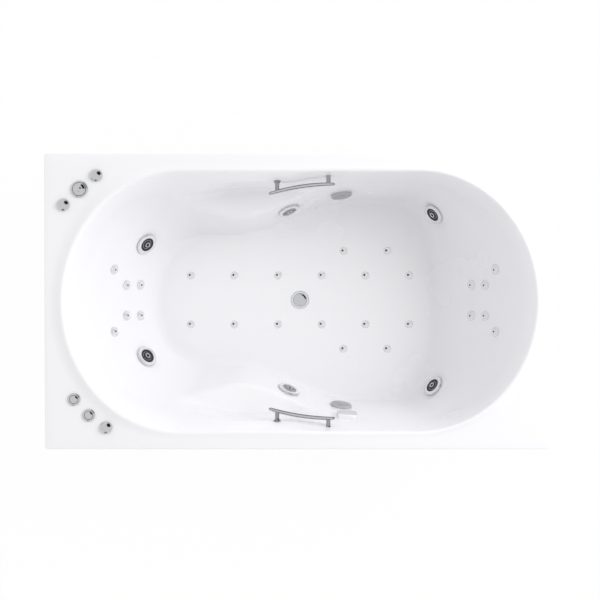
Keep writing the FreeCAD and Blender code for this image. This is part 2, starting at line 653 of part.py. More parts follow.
# ---------------------------------------------------------------- jets
def jet_parts():
    """Six jets: body in the wall, turning ring and tilting nozzle."""
    barrel, bore, wide = size.jet_barrel / 2, size.jet_bore / 2, size.jet_wide / 2
    ball, gap, face = size.ball_wide / 2, size.turn_gap, 3.0
    body = turned([(12, -84), (16, -84), (16, -66), (barrel, -66), (barrel, -size.skin - 12),
                   (barrel + 12, -size.skin - 12), (barrel + 12, -size.skin), (barrel, -size.skin),
                   (barrel, 0), (wide - 3, 0), (wide - 3, face), (bore, face), (bore, -60), (12, -60)], 16)
    hub = bore * math.cos(math.pi / 16) - gap
    ring = turned([(ball + gap, -16), (hub, -16), (hub, face + size.seat_gap), (wide, face + size.seat_gap),
                   (wide, face + 4), (wide - 7, face + 8), (ball + 3, face + 5), (ball - 1.2, face + 4),
                   (ball + gap, face - 1)], 26)
    nozzle = turned([(5, -12), (9, -12), (ball * 0.72, -10), (ball * 0.93, -6), (ball - 0.2, -1.5),
                     (ball - 0.2, 1.5), (ball * 0.93, 5.5), (ball * 0.55, 9), (9, 13), (6, 13)], 14)
    bodies = []
    for i, place in enumerate(JETS, start=1):
        point, way = wall_seat(*place)
        bodies.append(aimed(body, point, way))
        feature("jet_ring_%d" % i, aimed(ring, point, way))
        feature("jet_nozzle_%d" % i, aimed(nozzle, point, way))
    feature("jet_bodies", Part.makeCompound(bodies))


def suction_parts():
    """Two suction fittings with domed, pierced covers."""
    wide = size.suction_wide / 2
    cover = turned([(wide - 3, 3), (wide, 3), (wide, 7), (wide - 8, 13), (0, 16), (0, 13), (wide - 9, 10),
                    (wide - 3, 6)], 20)
    slots = []
    for reach, count in ((12, 6), (24, 10)):
        for k in range(count):
            a = 2 * math.pi * k / count
            corner = Vector(reach * math.cos(a) - 2.5, reach * math.sin(a) - 2.5, 0)
            slots.append(Part.makeBox(5, 5, 20, corner))
    cover = cover.cut(slots)
    body = turned([(16, -66), (25, -66), (25, -size.skin - 12), (38, -size.skin - 12), (38, -size.skin),
                   (26.8, -size.skin), (26.8, 0), (wide - 1, 0), (wide - 1, 3),
                   (21, 3), (21, -60), (16, -60)], 14)
    covers, bodies = [], []
    for place in SUCTIONS:
        point, way = wall_seat(*place)
        covers.append(aimed(cover, point, way))
        bodies.append(aimed(body, point, way))
    feature("suction_covers", Part.makeCompound(covers))
    feature("suction_bodies", Part.makeCompound(bodies))


def small_jet_parts():
    """Twelve back jets in the end walls and sixteen air jets in the floor."""
    wide = size.back_jet_wide / 2
    jet = turned([(0, -42), (7, -42), (7, -30), (11, -30), (11, 0), (wide, 0), (wide, 2), (wide - 5, 5),
                  (8, 5), (5, 1), (0, 1)], 10)
    seats = [wall_seat(*place) for place in BACK_JETS]
    feature("back_jets", Part.makeCompound([aimed(jet, point, way) for point, way in seats]))
    manifolds = []
    for sign, x, z in MANIFOLDS:
        tube = [rod(Vector(x, -158, z), Vector(x, 158, z), 30, 10)]
        for point, way in seats:
            if point.x * sign > 0:
                tail = point - way * 42
                level = Vector(x, tail.y, z)
                tube.append(mitred_pipe([tail, tail - way * 12, level], 12, 8))
        manifolds.append(tube[0].fuse(tube[1:]))
    feature("back_jet_manifolds", Part.makeCompound(manifolds))
    half = size.floor_jet_wide / 2
    cap = turned([(0, 0), (half, 0), (half, 1.5), (half - 4, 3.5), (0, 3.5)], 12)
    feature("floor_jet_caps", Part.makeCompound([aimed(cap, spot, up) for spot in floor_jet_places()]))
    deep = 34
    body = turned([(0, -deep), (9, -deep), (9, 0), (0, 0)], 8)
    feature("floor_jet_bodies", Part.makeCompound([body.translated(spot) for spot in floor_jet_places()]))
    low, reach = floor_top - deep - size.air_pipe / 2, size.floor_jet_pitch
    header = Vector(size.header_place, 0, rail_low + size.rail_size + 16)
    pipes = [rod(header + Vector(0, -214, 0), header + Vector(0, 214, 0), size.air_pipe + 6, 10)]
    for y, start in ((1, -2.7 * reach), (2, 0.8 * reach)):
        for side in (-1, 1):
            row = y * side * size.floor_jet_row
            pipes.append(mitred_pipe([Vector(start, row, low), Vector(header.x - 36, row, low),
                                      Vector(header.x, row, header.z)], size.air_pipe, 8))
    feature("air_rails", pipes[0].fuse(pipes[1:]))
    return header


# ---------------------------------------------------------------- pump and blower
def pump_parts():
    """Water pump across the left end, on the long rails."""
    x, base = size.pump_place, rail_low + size.rail_size
    centre = base + 5 + size.motor_wide / 2 + 8
    long, half = size.motor_long, size.motor_wide / 2
    way = Vector(0, 1, 0)
    start = Vector(x, -70, centre)
    shaft = size.shaft_wide / 2
    bush = across(shaft + size.turn_gap, 28)
    casing = turned([(bush, 0), (half - 14, 0), (half, 12), (half, long - 4), (half - 6, long), (bush, long),
                     (bush, long - 6), (half - 6, long - 6), (half - 6, 16), (half - 18, 6), (bush, 6)], 28)
    feature("pump_motor", aimed(casing, start, way))
    v, vl = size.volute_wide / 2, size.volute_long
    volute = turned([(bush, 0.5), (v, 0.5), (v, vl - 8), (v - 14, vl), (28, vl), (28, vl + 22), (22, vl + 22),
                     (22, vl - 8), (v - 12, vl - 14), (v - 12, 10), (bush, 10)], 28)
    head = start + way * long
    outlet = rod(Vector(x + 30, head.y + 28, centre + 40), Vector(x + 30, head.y + 28, centre + v + 26),
                 size.pipe_wide, 16, size.pipe_wide - 8)
    feature("pump_volute", aimed(volute, head, way).fuse(outlet.cut(
        aimed(turned([(0, 9), (v - 12, 9), (v - 12, vl - 12), (0, vl - 12)], 28), head, way))))
    rotor = turned([(0, 2), (shaft, 2), (shaft, 24), (half - 22, 24), (half - 22, long - 40),
                    (shaft, long - 40), (shaft, long + 16), (v - 16, long + 16), (v - 18, long + 36),
                    (14, long + 40), (0, long + 40)], 20)
    feature("pump_rotor", aimed(rotor, start, way))
    print("seat pump_rotor %.4f %.4f %.4f 0 1 0" % tuple(start))
    foot = Part.makeBox(120, 340, 5, Vector(x - 60, -170, base))
    saddle = Part.makeBox(90, 120, centre - half + 14 - base - 5, Vector(x - 45, -35, base + 5))
    drum = Part.makeCylinder(half + 0.2, 400, Vector(x, -200, centre), way)
    feature("pump_foot", foot.fuse(saddle.cut(drum)))


def blower_parts():
    """Air blower standing on the long rails under the right end."""
    x, base = size.blower_place, rail_low + size.rail_size
    half, tall = size.blower_wide / 2, size.blower_tall
    house = turned([(30, 8), (half, 8), (half, tall - 10), (half - 12, tall), (34, tall), (34, tall - 6),
                    (half - 16, tall - 6), (half - 6, tall - 14), (half - 6, 14), (30, 14)], 28)
    spigot = rod(Vector(0, half - 10, 60), Vector(0, half + 40, 60), 44, 16, 36)
    legs = [Part.makeBox(24, 340, 8, Vector(-12, -170, 0))]
    floor_plate = Part.makeCylinder(34, 6, Vector(0, 0, 8))
    house = house.cut(Part.makeCylinder(18, 30, Vector(0, half - 14, 60), Vector(0, 1, 0)))
    house = house.fuse([spigot.cut(turned([(0, 14), (half - 6, 14), (half - 6, 100), (0, 100)], 28))]
                       + legs + [floor_plate])
    house.translate(Vector(x, 0, base))
    feature("blower_housing", house)
    rotor = turned([(0, 14 + size.turn_gap), (7, 14 + size.turn_gap), (7, 26), (half - 14, 26),
                    (half - 14, 76), (half - 22, 76),
                    (half - 22, 30), (20, 30), (20, 100), (0, 100)], 24)
    feature("blower_rotor", rotor.translated(Vector(x, 0, base)))
    print("seat blower_rotor %.4f %.4f %.4f 0 0 1" % (x, 0, base))


# ---------------------------------------------------------------- pipes
def pipe_parts(header):
    """Suction, pressure and air lines, in straight runs and mitred bends."""
    pump_x, base = size.pump_place, rail_low + size.rail_size
    centre = base + 13 + size.motor_wide / 2
    volute_y = -70 + size.motor_long
    inlet = Vector(pump_x, volute_y + size.volute_long + 22, centre)
    wide = size.pipe_wide
    tails = [point - way * 66 for point, way in (wall_seat(*place) for place in SUCTIONS)]
    outward = [-way for point, way in (wall_seat(*place) for place in SUCTIONS)]
    starts = []
    for side, tail, out in ((1, tails[0], outward[0]), (-1, tails[1], outward[1])):
        bend = tail + out * 16
        swing = bend + Vector(-26, side * 12, -12)
        starts.append([tail, bend, swing, swing + Vector(-84, -side * 44, -86)])
    line = starts[0] + [Vector(-600, 464, 172), Vector(pump_x + 70, 400, 190),
                        Vector(pump_x, inlet.y + 60, centre), inlet]
    join = Vector(-735, 415, 186)
    second = starts[1] + [Vector(-610, -464, 172), Vector(join.x, -380, 176), join]
    feature("suction_pipes", mitred_pipe(line, wide - 4, 10).fuse(mitred_pipe(second, wide - 4, 10)))
    top = centre + size.volute_wide / 2 + 26
    outlet = Vector(pump_x + 30, volute_y + 28, top)
    tee = Vector(outlet.x, outlet.y, size.line_height)
    seats = [wall_seat(*place) for place in JETS]
    solids = [rod(outlet, tee, wide - 14, 10)]
    for side, ids in ((1, (0, 2, 4)), (-1, (1, 3, 5))):
        ends = [seats[i][0] - seats[i][1] * 84 for i in ids]
        high = size.line_height
        last = ends[2] - seats[ids[2]][1] * 30
        corner = last + Vector(0, side * 34, 6)
        line = [tee, Vector(-770, side * 330, high), Vector(-640, side * 478, high),
                Vector(-110, side * 478, high), Vector(90, side * 520, high), Vector(420, side * 515, high),
                Vector(540, side * 500, high - 15), corner, last, ends[2]]
        solids.append(mitred_pipe(line, size.water_pipe, 8))
        for k, near in ((0, Vector(-700, side * 409, high)), (1, Vector(ends[1].x - 40, side * 478, high))):
            solids.append(mitred_pipe([ends[k], ends[k] - seats[ids[k]][1] * 16, near], 26, 8))
        feed = [corner, Vector(720, side * 300, 300), Vector(MANIFOLDS[1][1], side * 150, MANIFOLDS[1][2])]
        solids.append(mitred_pipe(feed, 20, 8))
    rear = Vector(MANIFOLDS[0][1], 60, MANIFOLDS[0][2])
    solids.append(mitred_pipe([tee + Vector(4, -50, 0), rear + Vector(-4, 0, 26), rear], 20, 8))
    lines = solids[0].fuse(solids[1:])
    feature("pressure_pipes", lines.cut(doc.getObject("back_jet_manifolds").Shape))
    blower = Vector(size.blower_place, size.blower_wide / 2 + 40, base + 60)
    air = [blower, blower + Vector(0, 40, 0), Vector(760, 185, header.z + 18),
           Vector(header.x, 185, header.z)]
    feature("air_supply_pipe", mitred_pipe(air, 38, 10).cut(doc.getObject("air_rails").Shape))


def control_box():
    """The sealed electrical box on a frame post, with cable glands only."""
    x, y = size.cross_outer + size.post_size / 2, size.cross_reach / 2 - 74
    box = Part.makeBox(128, 60, 118, Vector(x, y, 150))
    box = box.makeFillet(7, [e for e in box.Edges if abs(e.Vertexes[0].Z - e.Vertexes[-1].Z) > 60])
    lid = Part.makeBox(132, 4, 122, Vector(x + 1, y - 4, 148))
    glands = [rod(Vector(x + spot, y + 30, 150), Vector(x + spot, y + 30, 136), 18, 8)
              for spot in (30, 62, 94)]
    feature("control_box", box.fuse([lid] + glands))


# ---------------------------------------------------------------- rim controls
def control_parts():
    """Domed air knobs, the large selector and two push buttons, with bodies under the rim."""
    rim = size.rim_height
    half, big = size.knob_wide / 2, size.selector_wide / 2
    knob = turned([(0, -10), (8, -10), (8, 0.3), (half, 0.3), (half, 5), (half - 4, 11), (half - 12, 16),
                   (0, 18)], 22)
    selector = turned([(0, -10), (8, -10), (8, 3.3), (big - 9, 3.3), (big - 9, 12), (big - 13, 17),
                       (big - 22, 20), (0, 21)], 22)
    button = turned([(0, -8), (7, -8), (7, 2), (half - 9, 2), (half - 9, 8), (half - 12, 9.5), (0, 9.5)], 20)
    button_body = turned([(7.6, -34), (15, -34), (15, 0), (half, 0), (half, 3), (half - 3, 6),
                         (half - 8.4, 6),
                          (half - 8.4, -2), (7.6, -2)], 20)
    bore = across(8 + size.turn_gap, 12)
    valve = turned([(bore, -40), (15, -40), (15, 0), (half - 3, 0), (half - 3, 0.25), (bore, 0.25)], 12)
    ring = turned([(8.4, -44), (15, -44), (15, 0), (big, 0), (big, 2), (big - 3, 6), (big - 8, 6),
                   (big - 8, 3), (8.4, 3)], 24)
    knobs, buttons, valves = 0, 0, []
    names = ("pump_button", "blower_button")
    button_bodies = []
    for x, y, kind in CONTROLS:
        spot = Vector(x, y, rim)
        if kind == "knob":
            knobs += 1
            feature("air_knob_%d" % knobs, knob.translated(spot))
            print("seat air_knob_%d %.4f %.4f %.4f 0 0 1" % (knobs, x, y, rim))
            valves.append(valve.translated(spot))
        elif kind == "selector":
            feature("selector_knob", selector.translated(spot))
            print("seat selector_knob %.4f %.4f %.4f 0 0 1" % (x, y, rim))
            feature("selector_body", ring.translated(spot))
        else:
            feature(names[buttons], button.translated(spot))
            buttons += 1
            button_bodies.append(button_body.translated(spot))
    feature("air_valve_bodies", Part.makeCompound(valves))
    feature("button_bodies", Part.makeCompound(button_bodies))


# ---------------------------------------------------------------- handles
def bar_line(k):
    """How far out the bar's middle line runs, for k from -1 to 1 along it."""
    return 422.5 + 18.5 * k + 10 * (1 - k * k)


def handle_parts():
    """A curved grab bar on each side wall, on two posts."""
    bars, posts = [], []
    z = size.rim_height - HANDLE_DROP
    for side in (-1, 1):
        centres = []
        count = 12
        for i in range(count + 1):
            k = 2 * i / count - 1
            centres.append((Vector(7 + 125 * k, side * bar_line(k), z),
                            size.handle_thick / 2 * (1 - 0.25 * k * k)))
        faces, last = [], None
        for i, (centre, radius) in enumerate(centres):
            on = centres[min(i + 1, count)][0] - centres[max(i - 1, 0)][0]
            on.normalize()
            out = on.cross(up)
            ring = []
            for k in range(11):
                a = 2 * math.pi * k / 10
                ring.append(centre + out * (radius * math.cos(a)) + up * (radius * 1.3 * math.sin(a)))
            if last:
                for k in range(10):
                    faces.append(Part.Face(Part.makePolygon([last[k], last[k + 1], ring[k + 1], last[k]])))
                    faces.append(Part.Face(Part.makePolygon([last[k], ring[k + 1], ring[k], last[k]])))
            else:
                faces.append(Part.Face(Part.makePolygon(ring)))
            last = ring
        faces.append(Part.Face(Part.makePolygon(last)))
        bars.append(closed_solid(faces))
        for x, y in HANDLE_POSTS:
            bar_y = bar_line((x - 7) / 125)
            post = rod(Vector(x, side * bar_y, z), Vector(x, side * (y + 30), z), 18, 12)
            post = post.cut([bars[-1], doc.getObject("tub_shell").Shape])
            posts.append(min(post.Solids, key=lambda piece: abs(abs(piece.CenterOfMass.y) - (bar_y + y) / 2)))
    feature("handle_bars", Part.makeCompound(bars))
    feature("handle_posts", Part.makeCompound(posts))


base_and_frame()
feet()
trap_centre = waste_parts()
overflow_parts(trap_centre)
jet_parts()
suction_parts()
air_header = small_jet_parts()
pump_parts()
blower_parts()
pipe_parts(air_header)
control_box()
control_parts()
handle_parts()

doc.recompute()
for item in doc.Objects:
    if "Invalid" in item.State or "Error" in item.State:
        raise RuntimeError("failed: %s %s" % (item.Label, item.State))
for i, place in enumerate(JETS, start=1):
    point, way = wall_seat(*place)
    print("seat jet_%d %.4f %.4f %.4f %.7f %.7f %.7f" % ((i,) + tuple(point) + tuple(way)))
total = 0
for item in nodes:
    shape = item.Shape
    if shape.isNull() or not shape.isValid():
        raise RuntimeError("bad shape: " + item.Label)
    shape.exportStep("parts/%s.step" % item.Label)
    v, f = shape.tessellate(max(0.01, 0.0002 * shape.BoundBox.DiagonalLength))
    total += len(f)
    print(item.Label, len(shape.Solids), len(f), round(shape.Volume))
print(len(nodes), total)
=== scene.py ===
# %% [markdown]
# # A jetted bathtub, piece by piece
# This lesson dresses a packed tub model.  The model holds the rigid parts: pipes, jets, pump and
# feet.  Here each visible surface is worked out again with numpy as a smooth sheet, and every
# piece gets its own finish.
import math
import bmesh
import bpy
import numpy as np
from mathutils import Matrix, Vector


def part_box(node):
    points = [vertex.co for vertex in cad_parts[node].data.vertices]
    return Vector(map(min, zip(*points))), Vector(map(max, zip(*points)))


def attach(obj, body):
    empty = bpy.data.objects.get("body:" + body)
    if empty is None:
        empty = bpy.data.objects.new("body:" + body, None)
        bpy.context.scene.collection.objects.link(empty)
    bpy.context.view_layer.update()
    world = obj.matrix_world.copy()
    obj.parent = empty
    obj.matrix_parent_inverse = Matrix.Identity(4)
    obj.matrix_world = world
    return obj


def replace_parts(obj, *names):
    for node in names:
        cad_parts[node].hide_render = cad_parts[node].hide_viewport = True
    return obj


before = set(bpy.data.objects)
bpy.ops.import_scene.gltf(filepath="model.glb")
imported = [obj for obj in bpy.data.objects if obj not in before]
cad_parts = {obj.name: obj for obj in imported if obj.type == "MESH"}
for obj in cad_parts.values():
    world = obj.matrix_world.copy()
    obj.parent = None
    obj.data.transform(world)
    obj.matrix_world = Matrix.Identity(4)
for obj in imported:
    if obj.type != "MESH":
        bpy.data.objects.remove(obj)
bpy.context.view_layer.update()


# %% [markdown]
# ## Camera
# The tub is seen from straight above, through a long lens 4.5 m over the rim, tilted by less than
# a degree.

# %% camera
def linked(name, data):
    """A new object in the scene."""
    obj = bpy.data.objects.new(name, data)
    bpy.context.scene.collection.objects.link(obj)
    return obj


def overhead_camera(height, place_y, lens, tilt):
    """A camera looking down and a hair towards the front, with the tub's back at the top."""
    data = bpy.data.cameras.new("overhead")
    data.lens, data.sensor_width = lens, 36.0
    data.clip_end = 50.0
    camera = linked("overhead", data)
    camera.location = (0.0, place_y, height)
    camera.rotation_euler = (math.radians(tilt), 0.0, 0.0)
    bpy.context.scene.camera = camera


bpy.context.scene.view_settings.view_transform = "Standard"
RIM = 0.606
overhead_camera(height=RIM + 4.5, place_y=0.0687, lens=72.65, tilt=-0.80)


# %% [markdown]
# ## Finishes
# Each finish starts from one shared group of nodes that gives a slow cloud and a fine grain.  The
# cloud moves the colour and the gloss a little, and the grain lifts the surface.

# %% node helpers
def put(node, values):
    """Set some inputs of a node, each by its name or number."""
    for key, value in values.items():
        node.inputs[key].default_value = value


def feed(tree, socket, value):
    """Give a socket a plain number, or link another node's result to it."""
    if isinstance(value, float):
        socket.default_value = value
    else:
        tree.links.new(value, socket)


def maths(tree, operation, first, second):
    """One sum of two values, each a number or a node's result."""
    node = tree.nodes.new("ShaderNodeMath")
    node.operation = operation
    feed(tree, node.inputs[0], first)
    feed(tree, node.inputs[1], second)
    return node.outputs[0]


def mixed(tree, share, first, second):
    """The first value where share is 0 and the second where it is 1."""
    node = tree.nodes.new("ShaderNodeMix")
    for number, value in ((0, share), (2, first), (3, second)):
        feed(tree, node.inputs[number], value)
    return node.outputs[0]


# %% shared variation
def variation_group():
    """Cloud and grain: two noises of the piece's own coordinates, each from 0 to 1."""
    group = bpy.data.node_groups.new("cloud_and_grain", "ShaderNodeTree")
    for name, way, kind in (("Cloud Scale", "INPUT", "Float"), ("Grain Scale", "INPUT", "Float"),
                            ("Stretch", "INPUT", "Vector"), ("Cloud", "OUTPUT", "Float"),
                            ("Grain", "OUTPUT", "Float")):
        group.interface.new_socket(name, in_out=way, socket_type="NodeSocket" + kind)
    nodes, link = group.nodes, group.links.new
    inside, outside = nodes.new("NodeGroupInput"), nodes.new("NodeGroupOutput")
    place, stretch = nodes.new("ShaderNodeTexCoord"), nodes.new("ShaderNodeVectorMath")
    stretch.operation = "MULTIPLY"
    link(place.outputs["Object"], stretch.inputs[0])
    link(inside.outputs["Stretch"], stretch.inputs[1])
    for name in ("Cloud", "Grain"):
        noise = nodes.new("ShaderNodeTexNoise")
        put(noise, {"Detail": 3.0})
        link(inside.outputs[name + " Scale"], noise.inputs["Scale"])
        link(stretch.outputs[0], noise.inputs["Vector"])
        link(noise.outputs[0], outside.inputs[name])
    return group


VARIATION = variation_group()


# %% finish maker
def finish(name, colour, shade, rough, metal=0.0, coat=0.0, cloud=6.0, grain=300.0, lift=0.02,
           depth=0.0002, stretch=(1.0, 1.0, 1.0), specular=0.5):
    """A finish: its colour drifts to its shade and its roughness from low to high with the cloud."""
    mat = bpy.data.materials.new(name)
    mat.use_nodes = True
    nodes, link = mat.node_tree.nodes, mat.node_tree.links.new
    shader = nodes["Principled BSDF"]
    vary = nodes.new("ShaderNodeGroup")
    vary.node_tree = VARIATION
    put(vary, {"Cloud Scale": cloud, "Grain Scale": grain, "Stretch": stretch})
    mix = nodes.new("ShaderNodeMix")
    mix.data_type = "RGBA"
    put(mix, {6: (*colour, 1.0), 7: (*shade, 1.0)})
    link(vary.outputs["Cloud"], mix.inputs[0])
    link(mix.outputs[2], shader.inputs["Base Color"])
    gloss, bump = nodes.new("ShaderNodeMapRange"), nodes.new("ShaderNodeBump")
    put(gloss, {"To Min": rough[0], "To Max": rough[1]})
    link(vary.outputs["Cloud"], gloss.inputs["Value"])
    link(gloss.outputs["Result"], shader.inputs["Roughness"])
    put(bump, {"Strength": lift, "Distance": depth})
    link(vary.outputs["Grain"], bump.inputs["Height"])
    link(bump.outputs["Normal"], shader.inputs["Normal"])
    put(shader, {"Metallic": metal, "Coat Weight": coat, "Coat Roughness": 0.08,
                 "Specular IOR Level": specular})
    return mat


ACRYLIC = finish("white_acrylic", (0.915, 0.91, 0.93), (0.9, 0.895, 0.916), (0.22, 0.3), coat=0.25, cloud=3.0,
                 grain=900.0, lift=0.03)
CHROME = finish("bright_chrome", (0.72, 0.73, 0.74), (0.66, 0.67, 0.69), (0.05, 0.13), metal=1.0, cloud=20.0)
GRILLE = finish("dark_grille", (0.03, 0.031, 0.034), (0.06, 0.061, 0.064), (0.4, 0.55), cloud=60.0,
                grain=1500.0, specular=0.25)
GREY = finish("grey_plastic", (0.5, 0.5, 0.51), (0.44, 0.44, 0.45), (0.28, 0.4), cloud=60.0, grain=1200.0)
WHITE_PLASTIC = finish("white_plastic", (0.8, 0.8, 0.79), (0.74, 0.745, 0.735), (0.3, 0.42), cloud=20.0,
                       grain=700.0)
PIPE_WHITE = finish("white_pipe", (0.74, 0.74, 0.72), (0.66, 0.66, 0.64), (0.3, 0.45), cloud=9.0, grain=500.0)
PIPE_GREY = finish("grey_pipe", (0.2, 0.205, 0.21), (0.16, 0.165, 0.17), (0.35, 0.5), cloud=9.0, grain=500.0)
BLACK = finish("black_plastic", (0.02, 0.02, 0.021), (0.035, 0.035, 0.036), (0.32, 0.5), cloud=30.0,
               grain=900.0, lift=0.15)
RUBBER = finish("black_rubber", (0.018, 0.018, 0.018), (0.03, 0.03, 0.03), (0.6, 0.8), cloud=40.0, grain=1100.0,
                lift=0.25)
PAINT = finish("grey_paint", (0.2, 0.205, 0.21), (0.16, 0.165, 0.17), (0.35, 0.5), coat=0.1, cloud=14.0,
               grain=420.0, lift=0.15)
ZINC = finish("zinc_steel", (0.55, 0.56, 0.58), (0.42, 0.43, 0.46), (0.25, 0.45), metal=1.0, cloud=70.0,
              grain=800.0)
ALLOY = finish("cast_alloy", (0.42, 0.43, 0.44), (0.33, 0.34, 0.35), (0.4, 0.6), metal=0.9, cloud=30.0,
               grain=500.0, lift=0.4, depth=0.0006)
TIMBER = finish("sealed_ply", (0.52, 0.36, 0.2), (0.34, 0.21, 0.11), (0.45, 0.65), cloud=30.0, grain=260.0,
                lift=0.2, depth=0.0004, stretch=(0.06, 1.0, 1.0))
# Near black, painted into jet openings as the shade inside their holes, and onto the controls as dots of dark
# reflection.
PAINTED_DARK_SPOT = finish("painted_hole_shade_and_reflection_dots", (0.015, 0.015, 0.017), (0.03, 0.03, 0.032), (0.4, 0.6), cloud=50.0)
# Pale chrome: the own finish of the back jets and floor jet caps, and also the painted highlight bands over the
# bright chrome of the jet trims and drain ring.
PALE_CHROME_AND_HIGHLIGHT = finish("pale_chrome_and_painted_highlight", (0.88, 0.88, 0.9), (0.8, 0.8, 0.82), (0.15, 0.25), metal=0.4, cloud=60.0)
# A lighter copy of the dark grille plastic, used on two of the jets: painted light.
GRILLE_PAINTED_LIGHT = finish("grille_painted_light", (0.4, 0.405, 0.41), (0.3, 0.305, 0.31), (0.25, 0.4), cloud=60.0,
                      grain=1500.0)


def painted_view_finish(name, colour, shade, rough, rows, **more):
    """A finish with painted light and shade: its colour is scaled by the angle of view, rows of (how edge-on,
    how bright).
    """
    mat = finish(name, colour, shade, rough, **more)
    nodes, link = mat.node_tree.nodes, mat.node_tree.links.new
    shader = nodes["Principled BSDF"]
    weight, ramp = nodes.new("ShaderNodeLayerWeight"), nodes.new("ShaderNodeValToRGB")
    mix = nodes.new("ShaderNodeMix")
    while len(ramp.color_ramp.elements) < len(rows):
        ramp.color_ramp.elements.new(0.5)
    for stop, (place, level) in zip(ramp.color_ramp.elements, rows):
        stop.position, stop.color = place, (level, level, level, 1.0)
    link(weight.outputs["Facing"], ramp.inputs[0])
    mix.data_type, mix.blend_type = "RGBA", "MULTIPLY"
    put(mix, {0: 1.0})
    link(shader.inputs["Base Color"].links[0].from_socket, mix.inputs[6])
    link(ramp.outputs[0], mix.inputs[7])
    link(mix.outputs[2], shader.inputs["Base Color"])
    return mat


# The bars' chrome gets a dark band painted in where it is nearly edge-on: a painted dark reflection.
BAR_CHROME_PAINTED_REFLECTION = painted_view_finish("chrome_painted_dark_reflection", (0.7, 0.71, 0.73), (0.6, 0.61, 0.63), (0.06, 0.14),
                    [(0.0, 1.0), (0.1, 0.95), (0.19, 0.12), (0.3, 0.1), (0.38, 0.9), (1.0, 0.95)],
                    metal=1.0, cloud=30.0)
# The posts' chrome is a darker copy of the bright chrome and darkens further where edge-on: a painted dark
# reflection.
POST_CHROME_PAINTED_REFLECTION = painted_view_finish("post_chrome_painted_reflection", (0.46, 0.465, 0.48), (0.36, 0.365, 0.38), (0.12, 0.22),
                     [(0.0, 1.0), (0.35, 0.8), (1.0, 0.25)], metal=1.0, cloud=60.0)
# The overflow cover's acrylic is painted darker where it turns edge-on: painted shade on its rounded edges.
HOOD_PAINTED_SHADE = painted_view_finish("acrylic_painted_edge_shade", (0.915, 0.91, 0.93), (0.9, 0.895, 0.916), (0.22, 0.3),
              [(0.0, 1.0), (0.45, 1.0), (0.75, 0.62), (1.0, 0.5)], coat=0.25, cloud=30.0, grain=900.0)


# %% [markdown]
# ## The parts that keep their shape
# Square tubes, boards and nuts already have their true shape, so they only change finish.

# %% finishes on checked parts
def wear(node, material):
    """Put a finish on a part of the frame, in every slot."""
    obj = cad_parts[node]
    if not obj.material_slots:
        obj.data.materials.append(material)
    for slot in obj.material_slots:
        slot.material = material


PLAIN = {"base_boards": TIMBER, "rim_battens": TIMBER, "frame_side_rails": PAINT, "frame_cross_rails": PAINT,
         "frame_posts": PAINT, "foot_lock_nuts": ZINC, "pump_foot": PAINT}
for node, material in PLAIN.items():
    wear(node, material)


# %% [markdown]
# ## Sheets and turned pieces
# Most surfaces here are a grid of points: one number runs round the piece and the other down it.
# A turned piece is a profile carried round an axis, and a pipe is a circle carried along a path.

# %% grids to mesh
SAME_PLACE = 1e-6


def piece(name, grids, material, body="tub", sharp=40, closed=True, masks=None):
    """One piece from (u, v) grids of points: neighbours in u and v join as four-cornered faces.

    u runs round and meets itself, v runs along.  A mask says which faces stay.
    """
    points, faces, start = [], [], 0
    for n, grid in enumerate(grids):
        u, v = grid.shape[:2]
        i, j = np.meshgrid(np.arange(u), np.arange(v - 1), indexing="ij")
        k = (i + 1) % u
        quads = np.stack([i * v + j, i * v + j + 1, k * v + j + 1, k * v + j], -1)
        quads = quads[masks[n]] if masks else quads.reshape(-1, 4)
        points.append(grid.reshape(-1, 3))
        faces.append(quads + start)
        start += u * v
    mesh = bpy.data.meshes.new(name)
    mesh.from_pydata(np.concatenate(points).tolist(), [], np.concatenate(faces).tolist())
    clean(mesh, sharp, closed)
    return placed(name, mesh, material, body)


def placed(name, mesh, material, body):
    """A finished mesh as a piece of its body, with its finish."""
    mesh.materials.clear()
    mesh.materials.append(material)
    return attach(linked(name, mesh), body)


def stands_for(obj, node):
    """Hide the part from model.glb that a piece replaces."""
    if node:
        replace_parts(obj, node)


def clean(mesh, sharp=None, closed=False):
    """Join points that share a place, so seams and poles close, turn faces out and shade smooth."""
    work = bmesh.new()
    work.from_mesh(mesh)
    bmesh.ops.remove_doubles(work, verts=work.verts, dist=SAME_PLACE)
    bmesh.ops.dissolve_degenerate(work, edges=work.edges, dist=SAME_PLACE)
    if closed:
        bmesh.ops.recalc_face_normals(work, faces=work.faces)
    work.to_mesh(mesh)
    work.free()
    mesh.polygons.foreach_set("use_smooth", np.ones(len(mesh.polygons), bool))
    if sharp is not None:
        mesh.set_sharp_from_angle(angle=math.radians(sharp))
    mesh.update()


# %% rounded outlines
def unit(vectors):
    """Each row scaled to length one."""
    return vectors / np.linalg.norm(vectors, axis=1, keepdims=True)


